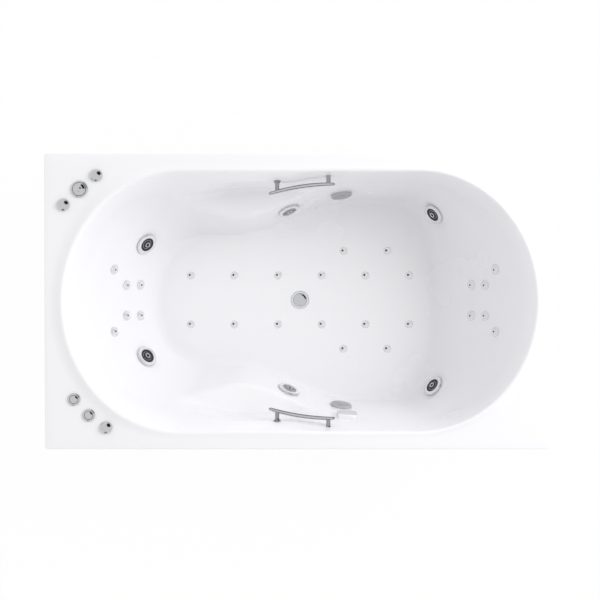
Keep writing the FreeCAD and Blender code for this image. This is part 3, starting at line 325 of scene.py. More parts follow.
def rounded_outline(corners, radii, counts):
    """Straight runs and tangent arcs through corners, for many outlines at once.

    corners is (n, k, 2).  Each inner corner is swapped for an arc that touches both its runs:
    it starts radius / tan(half angle) before the corner, round a centre on the bisector.
    """
    corners = np.asarray(corners, float)
    ends, pieces = corners[:, 0], []
    for j, radius in enumerate(radii, start=1):
        a, b, c = corners[:, j - 1], corners[:, j], corners[:, j + 1]
        back, on = unit(a - b), unit(c - b)
        angle = np.arccos(np.clip((back * on).sum(1), -1, 1))[:, None]
        radius = np.broadcast_to(np.asarray(radius, float), (len(a),))[:, None]
        trim = radius / np.tan(angle / 2)
        centre = b + unit(back + on) * radius / np.sin(angle / 2)
        first, last = b + back * trim, b + on * trim
        pieces += [(ends, first, None), (first, last, centre)]
        ends = last
    pieces.append((ends, corners[:, -1], None))
    rows = []
    for (a, b, centre), shares in zip(pieces, counts):
        s = np.asarray(shares, float)[None, :, None]
        if centre is None:
            rows.append(a[:, None] + (b - a)[:, None] * s)
            continue
        ra, rb = (a - centre)[:, None], (b - centre)[:, None]
        size = np.linalg.norm(ra, axis=2, keepdims=True) * np.linalg.norm(rb, axis=2, keepdims=True)
        turn = np.arccos(np.clip((ra * rb).sum(2, keepdims=True) / size, -1, 1))
        rows.append(centre[:, None] + (ra * np.sin((1 - s) * turn) + rb * np.sin(s * turn)) / np.sin(turn))
    return rows


def soft_profile(points, radius, arc=5):
    """A profile whose corners are rounded by one small radius, sampled along each arc."""
    points = np.asarray(points, float)
    gaps = np.linalg.norm(np.diff(points, axis=0), axis=1)
    radii = []
    for j in range(1, len(points) - 1):
        a, b = points[j - 1] - points[j], points[j + 1] - points[j]
        angle = math.acos(np.clip(a @ b / np.linalg.norm(a) / np.linalg.norm(b), -1, 1))
        room = 0.45 * min(gaps[j - 1], gaps[j]) * math.tan(angle / 2)
        radii.append(max(1e-6, min(radius, room)))
    counts = [[0.0], np.linspace(0, 1, arc)] * (len(points) - 2) + [[0.0, 1.0]]
    rows = rounded_outline(points[None], radii, counts)
    return np.concatenate([row[0] for row in rows])


# %% turned pieces and pipes
def frame_axes(way):
    """Three unit directions of a fitting: level along the wall, up the wall, and out of it."""
    way = np.asarray(way, float) / np.linalg.norm(way)
    level = np.cross([0.0, 0.0, 1.0], way)
    level = np.array([1.0, 0.0, 0.0]) if np.linalg.norm(level) < 1e-6 else level / np.linalg.norm(level)
    return level, np.cross(way, level), way


def turned_grid(profile, point, way, sides=72):
    """(radius, height) pairs turned round the way: radius*(cos a, sin a) level, height along it."""
    profile = np.asarray(profile, float)
    level, rise, way = frame_axes(way)
    a = np.linspace(0, 2 * math.pi, sides, endpoint=False)[:, None, None]
    radius, height = profile[None, :, :1], profile[None, :, 1:]
    return np.asarray(point, float) + radius * (np.cos(a) * level + np.sin(a) * rise) + height * way


def fitting(name, profile, places, material, body="tub", node=None, soft=0.6, sides=64):
    """The same turned piece at each place, as one piece; its outline is (radius, height) in mm."""
    line = soft_profile(np.asarray(profile, float) / 1000, soft / 1000)
    made = piece(name, [turned_grid(line, point, way, sides) for point, way in places], material, body)
    stands_for(made, node)


def bent_path(points, bend, steps=9):
    """A path through points with each corner swapped for an arc of the bend radius."""
    points = [np.asarray(p, float) for p in points]
    out = [points[0]]
    for a, b, c in zip(points, points[1:], points[2:]):
        back, on = a - b, c - b
        la, lc = np.linalg.norm(back), np.linalg.norm(on)
        back, on = back / la, on / lc
        angle = math.acos(np.clip(back @ on, -1, 1))
        if angle > 3.1:
            continue
        trim = min(bend / math.tan(angle / 2), 0.45 * la, 0.45 * lc)
        radius = trim * math.tan(angle / 2)
        centre = b + (back + on) / np.linalg.norm(back + on) * radius / math.sin(angle / 2)
        ra, rb = b + back * trim - centre, b + on * trim - centre
        turn = math.acos(np.clip(ra @ rb / radius ** 2, -1, 1))
        s = np.linspace(0, 1, steps)[:, None]
        out += list(centre + (ra * np.sin((1 - s) * turn) + rb * np.sin(s * turn)) / math.sin(turn))
    out.append(points[-1])
    return np.array(out)


def pipe_grid(points, wide, bend=0.05, sides=24):
    """A circle carried along a bent path; each ring leans half way between its two runs."""
    path = bent_path(points, bend)
    ways = unit(np.diff(path, axis=0))
    lean = unit(np.vstack([ways[:1], ways[:-1] + ways[1:], ways[-1:]]))
    side = np.cross([0, 0, 1.0], lean[0])
    side = np.array([1.0, 0, 0]) if np.linalg.norm(side) < 1e-3 else side / np.linalg.norm(side)
    sides_along = []
    for way in lean:
        side = side - way * (side @ way)
        side = side / np.linalg.norm(side)
        sides_along.append(side)
    side = np.array(sides_along)
    rise = np.cross(lean, side)
    a = np.linspace(0, 2 * math.pi, sides, endpoint=False)[:, None, None]
    rings = path[None] + (np.cos(a) * side[None] + np.sin(a) * rise[None]) * wide / 2
    ends = [np.broadcast_to(path[k], (sides, 1, 3)) for k in (0, -1)]
    return np.concatenate([ends[0], rings, ends[1]], 1)


# %% [markdown]
# ## The moulded skin
# The skin is one sheet.  Its first number goes round the well: the right end, the back wall, the
# left end and the front wall.  The second goes from the lip, over the rim and the raised crest,
# down the wall, through the armrest where there is one, round the cove and over the floor.

# %% where the well runs
SKIN, DEPTH = 0.008, 0.455
FLOOR = RIM - DEPTH
# The crest in plan, then the floor's ends and half widths, and where it swells from one to the other.
HALF_LONG, HALF_WIDE, END_CURVE = 0.880, 0.485, 0.440
FLOOR_LEFT, LEFT_CURVE, LEFT_POWER = 0.590, 0.215, 2.1
FLOOR_RIGHT, RIGHT_CURVE, RIGHT_POWER = 0.566, 0.185, 2.5
NARROW, BROAD, SWELL_FROM, SWELL_TO = 0.262, 0.405, -0.275, 0.235
# The section at the long sides and at the ends: crest height, foot of the crest, cove and knee.
CREST_SIDE, CREST_END, FOOT_SIDE, FOOT_END = 0.003, 0.014, 0.024, 0.042
COVE_SIDE, COVE_END, COVE_ARM, LEDGE_ARM = 0.034, 0.060, 0.026, 0.034
KNEE_SIDE, KNEE_END, KNEE_DROP = 0.38, 0.24, 0.19
FOOT_ROUND, CREST_ROUND, KNEE_ROUND, ARM_ROUND = 0.1, 0.012, 0.42, 0.06
# The armrest: where it starts, is full and ends, then its shoulder and the two edges of its ledge.
ARM_FROM, ARM_FULL, ARM_FADE, ARM_TO = -0.53, -0.215, -0.07, 0.095
SHOULDER_IN, SHOULDER_DROP = 0.035, 0.058
ARM_NEAR, ARM_FAR, ARM_OUTER, ARM_INNER = 0.048, 0.062, 0.262, 0.274


def s_curve(low, high, value):
    """0 below low, 1 above high, and 3t^2 - 2t^3 between."""
    t = np.clip((value - low) / (high - low), 0, 1)
    return t * t * (3 - 2 * t)


def crest_line(t):
    """The crest in plan for t from 0 to 4: an elliptical end, a straight side, and again."""
    t = np.asarray(t, float) % 4
    part, share = np.floor(t).astype(int), t - np.floor(t)
    centre = HALF_LONG - END_CURVE
    a = np.where(part == 0, -0.5, 0.5) * math.pi + math.pi * share
    end_x = np.where(part == 0, centre, -centre) + END_CURVE * np.cos(a)
    side_x = np.where(part == 1, 1, -1) * centre * (1 - 2 * share)
    x = np.where(part % 2 == 0, end_x, side_x)
    y = np.where(part % 2 == 0, HALF_WIDE * np.sin(a), np.where(part == 1, HALF_WIDE, -HALF_WIDE))
    return np.stack([x, y], -1)


def floor_half(x):
    """The floor's half width: narrow between the armrests, swelling in an S-curve."""
    return NARROW + (BROAD - NARROW) * s_curve(SWELL_FROM, SWELL_TO, x)


def floor_line(t):
    """Where each wall would meet the floor: rounded-square ends and the swelling sides."""
    t = np.asarray(t, float) % 4
    part, share = np.floor(t).astype(int), t - np.floor(t)
    right, left = FLOOR_RIGHT - RIGHT_CURVE, -FLOOR_LEFT + LEFT_CURVE
    a = np.where(part == 0, -0.5, 0.5) * math.pi + math.pi * share
    power = np.where(part == 0, RIGHT_POWER, LEFT_POWER)
    reach = (np.abs(np.cos(a)) ** power + np.abs(np.sin(a)) ** power) ** (-1 / power)
    x0, half = np.where(part == 0, right, left), np.where(part == 0, RIGHT_CURVE, LEFT_CURVE)
    across = np.where(part == 1, share, 1 - share)
    side_x = right + (left - right) * across
    x = np.where(part % 2 == 0, x0 + half * reach * np.cos(a), side_x)
    y = np.where(part % 2 == 0, floor_half(x0) * reach * np.sin(a),
                 floor_half(side_x) * np.where(part == 1, 1, -1))
    return np.stack([x, y], -1)


# %% its section at any place
COARSE = [((1, 0.0), (1, 0.0)), ((1, 0.6), (1, 0.6)), ((3, 0.0), (3, 0.0)), ((3, 0.5), (3, 0.5)),
          ((3, 1.0), (3, 1.0)), ((4, 0.5), (5, 0.5)), ((5, 0.0), (6, 0.35)), ((5, 0.5), (6, 0.7)),
          ((5, 1.0), (7, 0.0)), ((6, 0.06), (7, 0.5)), ((6, 0.12), (7, 1.0)), ((6, 0.16), (9, 0.0)),
          ((6, 0.24), (9, 0.5)), ((6, 0.34), (9, 1.0)), ((6, 0.7), (10, 0.5)), ((7, 0.0), (11, 0.0)),
          ((7, 0.33), (11, 0.33)), ((7, 0.67), (11, 0.67)), ((7, 1.0), (11, 1.0))]


def fine_places():
    """Matching places on the plain wall and on the armrest wall, close together."""
    bands = [((1, 0, 1), (1, 0, 1), 6), ((2, 0, 1), (2, 0, 1), 2), ((3, 0, 1), (3, 0, 1), 7),
             ((4, 0, 0.4), (4, 0, 1), 3), ((4, 0.4, 0.7), (5, 0, 1), 4), ((4, 0.7, 1), (6, 0, 0.35), 3),
             ((5, 0, 1), (6, 0.35, 1), 10), ((6, 0, 0.12), (7, 0, 1), 8), ((6, 0.12, 0.16), (8, 0, 1), 5),
             ((6, 0.16, 0.34), (9, 0, 1), 8), ((6, 0.34, 1), (10, 0, 1), 12), ((7, 0, 1), (11, 0, 1), 10),
             ((8, 0, 0.3), (12, 0, 0.3), 2)]
    out = []
    for (p, a, b), (q, c, d), count in bands:
        for s in np.linspace(0, 1, count, endpoint=False):
            out.append(((p, a + (b - a) * s), (q, c + (d - c) * s)))
    return out + [((8, 0.3), (12, 0.3))]


def pick(corners, radii, places):
    """Chosen (piece, share) places of a rounded outline, for every outline at once."""
    wanted = {}
    for k, (part, share) in enumerate(places):
        wanted.setdefault(part, []).append((share, k))
    counts = [[s for s, k in wanted.get(part, [])] or [0.0] for part in range(2 * len(radii) + 1)]
    rows = rounded_outline(corners, radii, counts)
    out = np.zeros((len(corners), len(places), 2))
    for part, row in enumerate(rows):
        for column, (share, k) in enumerate(wanted.get(part, [])):
            out[:, k] = row[:, column]
    return out


def well_section(t, places):
    """Points (n, rows, 3) down the well at each t: the plain wall blended with the armrest wall."""
    t = np.atleast_1d(np.asarray(t, float)) % 4
    top, low = crest_line(t), floor_line(t)
    run = np.linalg.norm(low - top, axis=1)
    inward = (low - top) / run[:, None]
    part, share = np.floor(t).astype(int), t - np.floor(t)
    a = np.where(part == 0, -0.5, 0.5) * math.pi + math.pi * share
    ends = np.where(part % 2 == 0, s_curve(0.0, 0.75, np.abs(np.cos(a))), 0.0)
    arm = s_curve(ARM_FROM, ARM_FULL, top[:, 0]) * (1 - s_curve(ARM_FADE, ARM_TO, top[:, 0]))
    arm = np.where(part == 0, 0.0, arm)
    crest, foot = CREST_SIDE + (CREST_END - CREST_SIDE) * ends, FOOT_SIDE + (FOOT_END - FOOT_SIDE) * ends
    cove, knee = COVE_SIDE + (COVE_END - COVE_SIDE) * ends, KNEE_SIDE + (KNEE_END - KNEE_SIDE) * ends
    zero, deep = 0 * run, -DEPTH + 0 * run
    head = [np.stack([-foot - 0.04, zero], 1), np.stack([-foot, zero], 1), np.stack([zero, crest], 1)]
    tail = [np.stack([run, deep], 1), np.stack([run + 0.09, deep], 1)]
    plain = np.stack(head + [np.stack([knee * run, zero - KNEE_DROP], 1)] + tail, 1)
    ledge = np.clip((run - ARM_FAR - ARM_NEAR) / 0.06, 0.15, 1)
    far = np.maximum(ARM_NEAR + 0.008, run - ARM_FAR)
    arm_rows = [(zero + SHOULDER_IN, zero - SHOULDER_DROP), (zero + ARM_NEAR, zero - ARM_OUTER),
                (far, zero - ARM_INNER)]
    shelf = np.stack(head + [np.stack(row, 1) for row in arm_rows] + tail, 1)
    flat = pick(plain, [FOOT_ROUND, CREST_ROUND, KNEE_ROUND, cove], [p for p, q in places])
    rounds = [FOOT_ROUND, CREST_ROUND, ARM_ROUND, LEDGE_ARM * ledge, COVE_ARM * ledge, cove]
    rest = pick(shelf, rounds, [q for p, q in places])
    line = flat * (1 - arm)[:, None, None] + rest * arm[:, None, None]
    plan = top[:, None] + inward[:, None] * line[:, :, :1]
    return np.concatenate([plan, RIM + line[:, :, 1:]], 2)


# %% where the fittings sit
def seat(t, height):
    """The place on the wall at a height, and the way out of the wall there."""
    def at(where):
        rows = well_section(where, COARSE)[0][4:]
        for p, q in zip(rows, rows[1:]):
            if q[2] <= height <= p[2]:
                share = (p[2] - height) / (p[2] - q[2]) if p[2] != q[2] else 0.0
                return p + (q - p) * share, (q - p) / np.linalg.norm(q - p)
        raise ValueError("no wall there")
    step = 1 / 180 if int(t) % 2 == 0 else 0.01
    point, down = at(t)
    way = np.cross(down, at(t + step)[0] - at(t - step)[0])
    way /= np.linalg.norm(way)
    toward = np.array([-point[0], -point[1], 0.0])
    return point, way if way[2] > 0 or way @ toward > 0 else -way


def right(angle):
    """Right end: an angle of -90 to 90 degrees as a place round the well."""
    return (angle + 90) / 180


def left(angle):
    """Left end: an angle of 90 to 270 degrees as a place round the well."""
    return 2 + (angle - 90) / 180


JETS = [seat(left(138.2), 0.267), seat(left(221.8), 0.267), seat(1.5605, 0.258), seat(3.4395, 0.258),
        seat(right(52.1), 0.216), seat(right(-52.1), 0.216)]
SUCTIONS = [seat(1.296, 0.280), seat(3.704, 0.280)]
LEFT_ROWS = (18.6, 0.340), (10.2, 0.278), (11.6, 0.221)
RIGHT_ROWS = (15.3, 0.385), (7.8, 0.334), (8.1, 0.282)
BACK_JETS = [seat(left(180 + side * a), h) for a, h in LEFT_ROWS for side in (-1, 1)]
BACK_JETS += [seat(right(side * a), h) for a, h in RIGHT_ROWS for side in (1, -1)]
OVERFLOW = seat(3.718, 0.409)
for number, (point, way) in enumerate(JETS, start=1):
    middle = np.mean(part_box("jet_ring_%d" % number), axis=0)
    print("jet", number, "is off the frame by", np.round(np.linalg.norm(middle - point), 4))


# %% the skin's grid
RIM_LONG, RIM_WIDE, RIM_CORNER, RIM_EDGE = 0.95, 0.55, 0.012, 0.004
CORNER_X, CORNER_Y = 0.504, 0.544
SEAT_REACH, HOLE_REACH = 0.05, 0.01


def around(ends=96, sides=64):
    """Places round the well, closer together where the rim's square corners are."""
    t = [np.linspace(k, k + 1, ends if k % 2 == 0 else sides, endpoint=False) for k in range(4)]
    corner = math.degrees(math.atan2(CORNER_Y / HALF_WIDE, CORNER_X / END_CURVE))
    for angle in (right(corner), right(-corner), left(180 - corner), left(180 + corner)):
        t.append(angle + np.linspace(-0.011, 0.011, 13))
    return np.unique(np.round(np.concatenate(t), 5))


def rim_outline(foot):
    """The rim's outer edge for each crest foot: straight out to the rounded rectangle."""
    centre = np.stack([np.clip(foot[:, 0], END_CURVE - HALF_LONG, HALF_LONG - END_CURVE), 0 * foot[:, 0]], 1)
    way = unit(foot - centre)
    long, wide, corner = RIM_LONG, RIM_WIDE, RIM_CORNER
    with np.errstate(divide="ignore"):
        reach = np.minimum((long - np.abs(centre[:, 0])) / np.maximum(np.abs(way[:, 0]), 1e-9),
                           wide / np.maximum(np.abs(way[:, 1]), 1e-9))
    out = centre + way * reach[:, None]
    near = np.stack([np.sign(out[:, 0]) * (long - corner), np.sign(out[:, 1]) * (wide - corner)], 1)
    inside = (np.abs(out[:, 0]) > long - corner) & (np.abs(out[:, 1]) > wide - corner)
    gap = centre - near
    b, c = (gap * way).sum(1), (gap ** 2).sum(1) - corner ** 2
    round_reach = -b + np.sqrt(np.maximum(b * b - c, 0))
    return np.where(inside[:, None], centre + way * round_reach[:, None], out)


def skin_points():
    """The whole sheet: lip, rounded edge, rim, well, and rows that close in on the middle."""
    t = around()
    well = well_section(t, fine_places())
    foot = well[:, 0, :2]
    edge = rim_outline(foot)
    out = unit(edge - foot)
    rows = [np.column_stack([edge, np.full(len(t), RIM - drop)]) for drop in (0.036, 0.034, 0.02, 0.006)]
    for a in np.radians([18, 36, 54, 72, 90]):
        high = np.full(len(t), RIM - RIM_EDGE + RIM_EDGE * math.sin(a))
        rows.append(np.column_stack([edge - out * RIM_EDGE * (1 - math.cos(a)), high]))
    inner = rows[-1][:, :2]
    for s in (0.25, 0.5, 0.75, 0.9):
        rows.append(np.column_stack([inner + (foot - inner) * s, np.full(len(t), RIM)]))
    lip = np.stack(rows, 1)
    last = well[:, -1]
    spine = np.column_stack([np.clip(last[:, 0], -0.36, 0.36) * 0.8, 0 * last[:, 0], last[:, 2]])
    fill = np.stack([last + (spine - last) * s for s in np.linspace(0, 1, 12)[1:]], 1)
    return np.concatenate([lip, well, fill], 1)


def press_seats(points, fittings):
    """Press a flat round seat for each fitting: height over its plane fades out round it."""
    for (point, way), flat, soft in fittings:
        gap = points - point
        height = gap @ way
        radius = np.linalg.norm(gap - height[..., None] * way, axis=-1)
        share = (1 - s_curve(flat, soft, radius)) * (np.abs(height) < SEAT_REACH)
        points = points - (height * share)[..., None] * way
    return points


seats = [(s, 0.046, 0.07) for s in JETS + SUCTIONS] + [(s, 0.021, 0.032) for s in BACK_JETS]
seats.append((OVERFLOW, 0.052, 0.08))
skin_grid = press_seats(skin_points(), seats)
skin = piece("tub_skin", [skin_grid[::-1]], ACRYLIC, sharp=None, closed=False)


# %% openings and thickness
def open_holes(obj, fittings):
    """Take out the faces that lie under a fitting, within its hole."""
    work = bmesh.new()
    work.from_mesh(obj.data)
    faces = list(work.faces)
    middle = np.array([f.calc_center_median() for f in faces])
    gone = np.zeros(len(faces), bool)
    for (point, way), radius in fittings:
        gap = middle - point
        height = gap @ way
        gone |= (np.linalg.norm(gap - height[:, None] * way, axis=1) < radius) & (np.abs(height) < HOLE_REACH)
    bmesh.ops.delete(work, geom=[f for f, g in zip(faces, gone) if g], context="FACES")
    work.to_mesh(obj.data)
    work.free()


open_holes(skin, [(s, 0.024) for s in JETS] + [(s, 0.02) for s in SUCTIONS])
wall = skin.modifiers.new("skin", "SOLIDIFY")
wall.thickness, wall.offset = SKIN, -1.0
stands_for(skin, "tub_shell")


# %% [markdown]
# ## Water jets
# A jet is two moving pieces in a fixed body: a trim ring with a dark ribbed groove, and a ball
# nozzle held by its lip.  Every outline is in millimetres out of the wall.

# %% jets
def ribbed_ring(inner, outer, low, high, rise, ribs, place):
    """A ring whose top lifts in ribs: rise * (0.5 + 0.5 tanh(3 cos(ribs * angle)))."""
    level, up, way = frame_axes(place[1])
    a = np.linspace(0, 2 * math.pi, ribs * 8, endpoint=False)[:, None, None]
    wave = 0.5 + 0.5 * np.tanh(3 * np.cos(ribs * a))
    line = np.array([(inner, low, 0), (inner, high, 0), (inner + 0.7, high, 1), (outer - 0.7, high, 1),
                     (outer, high, 0), (outer, low, 0), (inner, low, 0)]) / 1000
    radius, height = line[None, :, :1], line[None, :, 1:2] + wave * rise * line[None, :, 2:]
    return place[0] + radius * (np.cos(a) * level + np.sin(a) * up) + height * way


TRIM = [(18.3, -16), (22.3, -16), (22.3, 3.1), (44, 3.1), (44, 5.6), (42.6, 7.8), (38.5, 10.4), (36, 10.8),
        (31, 9.6), (28.6, 9.2), (28, 6.4), (19.4, 5.8), (18.4, 7.4), (17.1, 7.2), (18.3, 2), (18.3, -16)]
BALL = [(0, -12), (9, -12), (13, -10.2), (16.2, -6.5), (17.7, -1.5), (17.7, 1.5), (16.7, 5.4), (14, 7.8),
        (10.5, 9), (6, 9), (5.2, 0), (0, 0)]
# A thin band of paler chrome over the crest of each jet trim: a painted highlight.
HIGHLIGHT_BAND = [(29.4, 9), (29.4, 9.7), (31, 10), (36, 11.2), (38.4, 10.8), (41.6, 8.9), (41.6, 8), (29.4, 9)]
MOUTH = [(10.4, 8.6), (10.4, 12), (9.4, 13.2), (7.4, 13.2), (6.3, 12), (6.2, 8.6), (10.4, 8.6)]
for number, place in enumerate(JETS, start=1):
    ring, nozzle = "jet_ring_%d" % number, "jet_nozzle_%d" % number
    fitting("jet_trim_%d" % number, TRIM, [place], CHROME, ring, node=ring)
    fitting("jet_band_%d" % number, HIGHLIGHT_BAND, [place], PALE_CHROME_AND_HIGHLIGHT, ring, soft=0.3)
    # Jets 3 and 4 take the lighter copy for grille and ball: painted light on the same plastic.
    dark = GRILLE_PAINTED_LIGHT if number in (3, 4) else GRILLE
    grille = piece("jet_grille_%d" % number, [ribbed_ring(19.6, 27.8, 6.0, 7.4, 1.0, 24, place)], dark, ring)
    fitting("jet_ball_%d" % number, BALL, [place], dark, nozzle, node=nozzle)
    fitting("jet_mouth_%d" % number, MOUTH, [place], CHROME, nozzle)

BACK_JET = [(0, -42), (7, -42), (7, -30), (11, -30), (11, 0), (20, 0), (20, 1.6), (18.2, 3.2), (13.5, 4),
            (11.2, 6.4), (8.4, 8.6), (5, 9.2), (3.7, 8.6), (3.4, 5), (0, 5)]
fitting("back_jet_cups", BACK_JET, BACK_JETS, PALE_CHROME_AND_HIGHLIGHT, node="back_jets", sides=40)
# A dark plug in each back jet's opening: painted shade inside its hole.
fitting("back_jet_hole_shades", [(0, 4.6), (3.3, 4.6), (3.6, 8.3), (2.9, 6.4), (0, 5.8)], BACK_JETS, PAINTED_DARK_SPOT,
        soft=0.2, sides=20)

# %% floor fittings
UP = np.array([0.0, 0.0, 1.0])
PITCH, ROW = 0.1785, 0.1
FLOOR_JETS = [((i - 2.5) * PITCH, y) for y in (-ROW, ROW) for i in range(6)]
FLOOR_JETS += [(x, y) for y in (-2 * ROW, 2 * ROW) for x in (PITCH, 2 * PITCH)]
FLOOR_JETS = [(np.array([x, y, FLOOR]), UP) for x, y in FLOOR_JETS]
AIR_CAP = [(0, 0), (16, 0), (16, 1.2), (14.6, 2.6), (11.6, 3.5), (9.8, 3.1), (8.8, 1.9), (7.4, 2.4), (0, 3.5)]
fitting("floor_jet_domes", AIR_CAP, FLOOR_JETS, PALE_CHROME_AND_HIGHLIGHT, node="floor_jet_caps",
        sides=40)
# A dark disc a little off the middle of each floor jet cap: painted shade of its air hole.
AIR_HOLE_SHADES = [(point + np.array([-0.0042, 0.002, 0.0032]), way) for point, way in FLOOR_JETS]
fitting("floor_jet_hole_shades", [(0, -0.8), (4.2, -0.8), (4.2, 0), (2.8, 0.2), (0, 0.2)], AIR_HOLE_SHADES, PAINTED_DARK_SPOT,
        soft=0.2, sides=20)

DRAIN = (np.array([0.0, 0.0, FLOOR]), UP)
FLANGE = [(22, -18), (26, -18), (26, 0), (37, 0), (37, 1.3), (35.4, 2.8), (31.5, 3.5), (28.6, 2.9), (27.6, 1),
          (24, 0.2), (22, -1), (22, -18)]
PLUG = [(0, -57), (4, -57), (4, -3), (20, -3), (20, -0.2), (26.4, 2.5), (27, 3.4), (25.6, 5), (20, 7.4),
        (12, 8.8), (0, 9.1)]
fitting("drain_ring", FLANGE, [DRAIN], CHROME, node="drain_flange", sides=72)
# A thin band of paler chrome over the drain ring's crest: a painted highlight.
DRAIN_HIGHLIGHT_BAND = [(27.4, 2.2), (28.6, 3.2), (31.2, 3.8), (33.4, 3.5), (33.4, 2.4), (27.4, 2.2)]
fitting("drain_highlight_band", DRAIN_HIGHLIGHT_BAND, [DRAIN], PALE_CHROME_AND_HIGHLIGHT, soft=0.3, sides=72)
fitting("drain_dome", PLUG, [DRAIN], CHROME, "drain_plug", node="drain_plug", soft=1.5, sides=72)


# %% [markdown]
# ## Covers on the walls
# The suction covers are shallow domes pierced by five rings of holes.  The holes are faces left out
# of the grid before the sheet gets its thickness.

# %% pierced covers
def pierced_dome(place, sides=128):
    """A dome grid and the mask of faces that stay: holes repeat round each of five bands."""
    radius = np.array([0, 4, 8, 11.5, 14, 17.5, 20, 23.5, 26, 29.5, 32, 35.5, 38, 40.5, 41.6, 42, 42, 42])
    height = np.where(radius <= 38, 16 - 4.2 * (radius / 38) ** 2, 0)
    height[13:] = (10.4, 8.9, 7, 5, 3.2)
    grid = turned_grid(np.stack([radius, height], 1) / 1000, *place, sides=sides)
    stays = np.ones((sides, len(radius) - 1), bool)
    turn = np.arange(sides)
    for band, (cycle, gone) in {2: (16, 8), 4: (8, 4), 6: (8, 4), 8: (4, 2), 10: (4, 2)}.items():
        stays[:, band] = (turn + 2 * band) % cycle >= gone
    return grid, stays


grids, masks = zip(*[pierced_dome(place) for place in SUCTIONS])
covers = piece("suction_domes", grids, GREY, sharp=50, closed=False, masks=masks)
shell = covers.modifiers.new("wall", "SOLIDIFY")
shell.thickness, shell.offset = 0.002, -1.0
stands_for(covers, "suction_covers")


def block_grid(place, wide, tall, deep, corner, edge):
    """A block with round corners and a round top edge: its outline draws in as it rises."""
    level, up, way = frame_axes(place[1])
    a = np.linspace(0, 2 * math.pi, 64, endpoint=False) + math.pi / 64
    quarter = np.sign(np.cos(a)), np.sign(np.sin(a))
    rows = [(0, 0, 0), (0, 0, 1), (0, deep - edge, 1)]
    for b in np.radians([15, 30, 45, 60, 75, 90]):
        rows.append((edge * (1 - math.cos(b)), deep - edge + edge * math.sin(b), 1))
    rows += [(edge, deep, share) for share in (0.7, 0.35, 0)]
    grid = []
    for inset, height, share in rows:
        arc = max(corner - inset, 0.0005)
        x = (quarter[0] * (wide / 2 - corner) + arc * np.cos(a)) * share
        y = (quarter[1] * (tall / 2 - corner) + arc * np.sin(a)) * share
        grid.append(place[0] + x[:, None] * level + y[:, None] * up + height * way)
    return np.stack(grid, 1)


cover = piece("overflow_hood", [block_grid(OVERFLOW, 0.077, 0.060, 0.017, 0.012, 0.0045)], HOOD_PAINTED_SHADE)
stands_for(cover, "overflow_cover")


# %% [markdown]
# ## Rim controls and grab bars

# %% knobs and buttons
def on_rim(x, y):
    """A place on the flat rim, facing up."""
    return np.array([x, y, RIM]), UP


def dome(edge, low, top, count=12):
    """A ball's cap from the axis out: top - (R - sqrt(R^2 - r^2)), with R from edge and height."""
    ball = (edge ** 2 + (top - low) ** 2) / (2 * (top - low))
    r = edge * np.sin(np.linspace(0, math.pi / 2, count))
    return [(a, top - ball + math.sqrt(ball ** 2 - a * a)) for a in r][::-1]


KNOB = [(0, -10), (8, -10), (8, 0.3), (24, 0.3)] + dome(24, 3.5, 18)
SELECTOR = [(0, -10), (8, -10), (8, 3.3), (23, 3.3), (23, 9.5), (21.4, 11.6), (19, 12.7), (14, 15.2),
            (11.5, 15.6)] + dome(10, 15.9, 21, 8)
SELECTOR_RING = [(8.4, -44), (15, -44), (15, 0), (32, 0), (32, 2.4), (30.6, 5.2), (28.4, 6.2), (25.6, 6),
                 (24.2, 3), (8.4, 3), (8.4, -44)]
BUTTON = [(0, -3.8), (7, -3.8), (7, 2.8), (14.8, 2.8)] + dome(14.8, 5.4, 9.8, 9)
BUTTON_RING = [(7.6, -34), (15, -34), (15, 0), (24, 0), (24, 2.6), (22.6, 5), (20, 6.2), (16.6, 5.6), (15.6, 4),
               (15.6, -2), (7.6, -2), (7.6, -34)]
VALVE = [(8.6, -40), (15, -40), (15, 0), (21, 0), (21, 0.25), (8.6, 0.25), (8.6, -40)]
# A small dark dot painted on the chrome of each control, where it shows a dark reflection.
REFLECTION_DOT = [(0, -0.8), (1.9, -0.8), (1.9, 0), (1.2, 0.4), (0, 0.5)]


def reflection_dot_place(place, out, height, tilt, angle=-98):
    """Where a small painted dark reflection dot sits: out from the axis, at a height, leaning with the surface.
    """
    turn, lean = math.radians(angle), math.radians(tilt)
    away = np.array([math.cos(turn), math.sin(turn), 0.0])
    return place[0] + away * out / 1000 + UP * height / 1000, away * math.sin(lean) + UP * math.cos(lean)


KNOBS = [on_rim(-0.757, 0.468), on_rim(-0.879, 0.359), on_rim(-0.722, -0.469)]
for number, place in enumerate(KNOBS, start=1):
    name = "air_knob_%d" % number
    fitting(name + "_dome", KNOB, [place], CHROME, name, node=name, soft=0.8)
    spot = reflection_dot_place(place, 20.6, 8.5, 49)
    fitting(name + "_reflection_dot", REFLECTION_DOT, [spot], PAINTED_DARK_SPOT, name, sides=20)
fitting("air_valve_cups", VALVE, KNOBS, WHITE_PLASTIC, node="air_valve_bodies", sides=32)
CHOICE = on_rim(-0.819, 0.417)
fitting("selector_dome", SELECTOR, [CHOICE], CHROME, "selector_knob", node="selector_knob",
        soft=0.9)
fitting("selector_reflection_dot", REFLECTION_DOT, [reflection_dot_place(CHOICE, 28.2, 6.2, 5, -107)], PAINTED_DARK_SPOT,
        sides=20)
fitting("selector_ring", SELECTOR_RING, [CHOICE], CHROME, node="selector_body", soft=0.9)
BUTTONS = [on_rim(-0.786, -0.423), on_rim(-0.841, -0.364)]
for name, place in zip(("pump_button", "blower_button"), BUTTONS):
    fitting(name + "_cap", BUTTON, [place], CHROME, name, node=name, soft=0.6)
fitting("button_reflection_dots", REFLECTION_DOT, [reflection_dot_place(place, 20.6, 6.1, 10) for place in BUTTONS], PAINTED_DARK_SPOT,
        sides=20)
fitting("button_rings", BUTTON_RING, BUTTONS, CHROME, node="button_bodies", soft=0.9)


# %% grab bars
BAR_X, BAR_HALF, BAR_DROP = 0.007, 0.125, 0.060


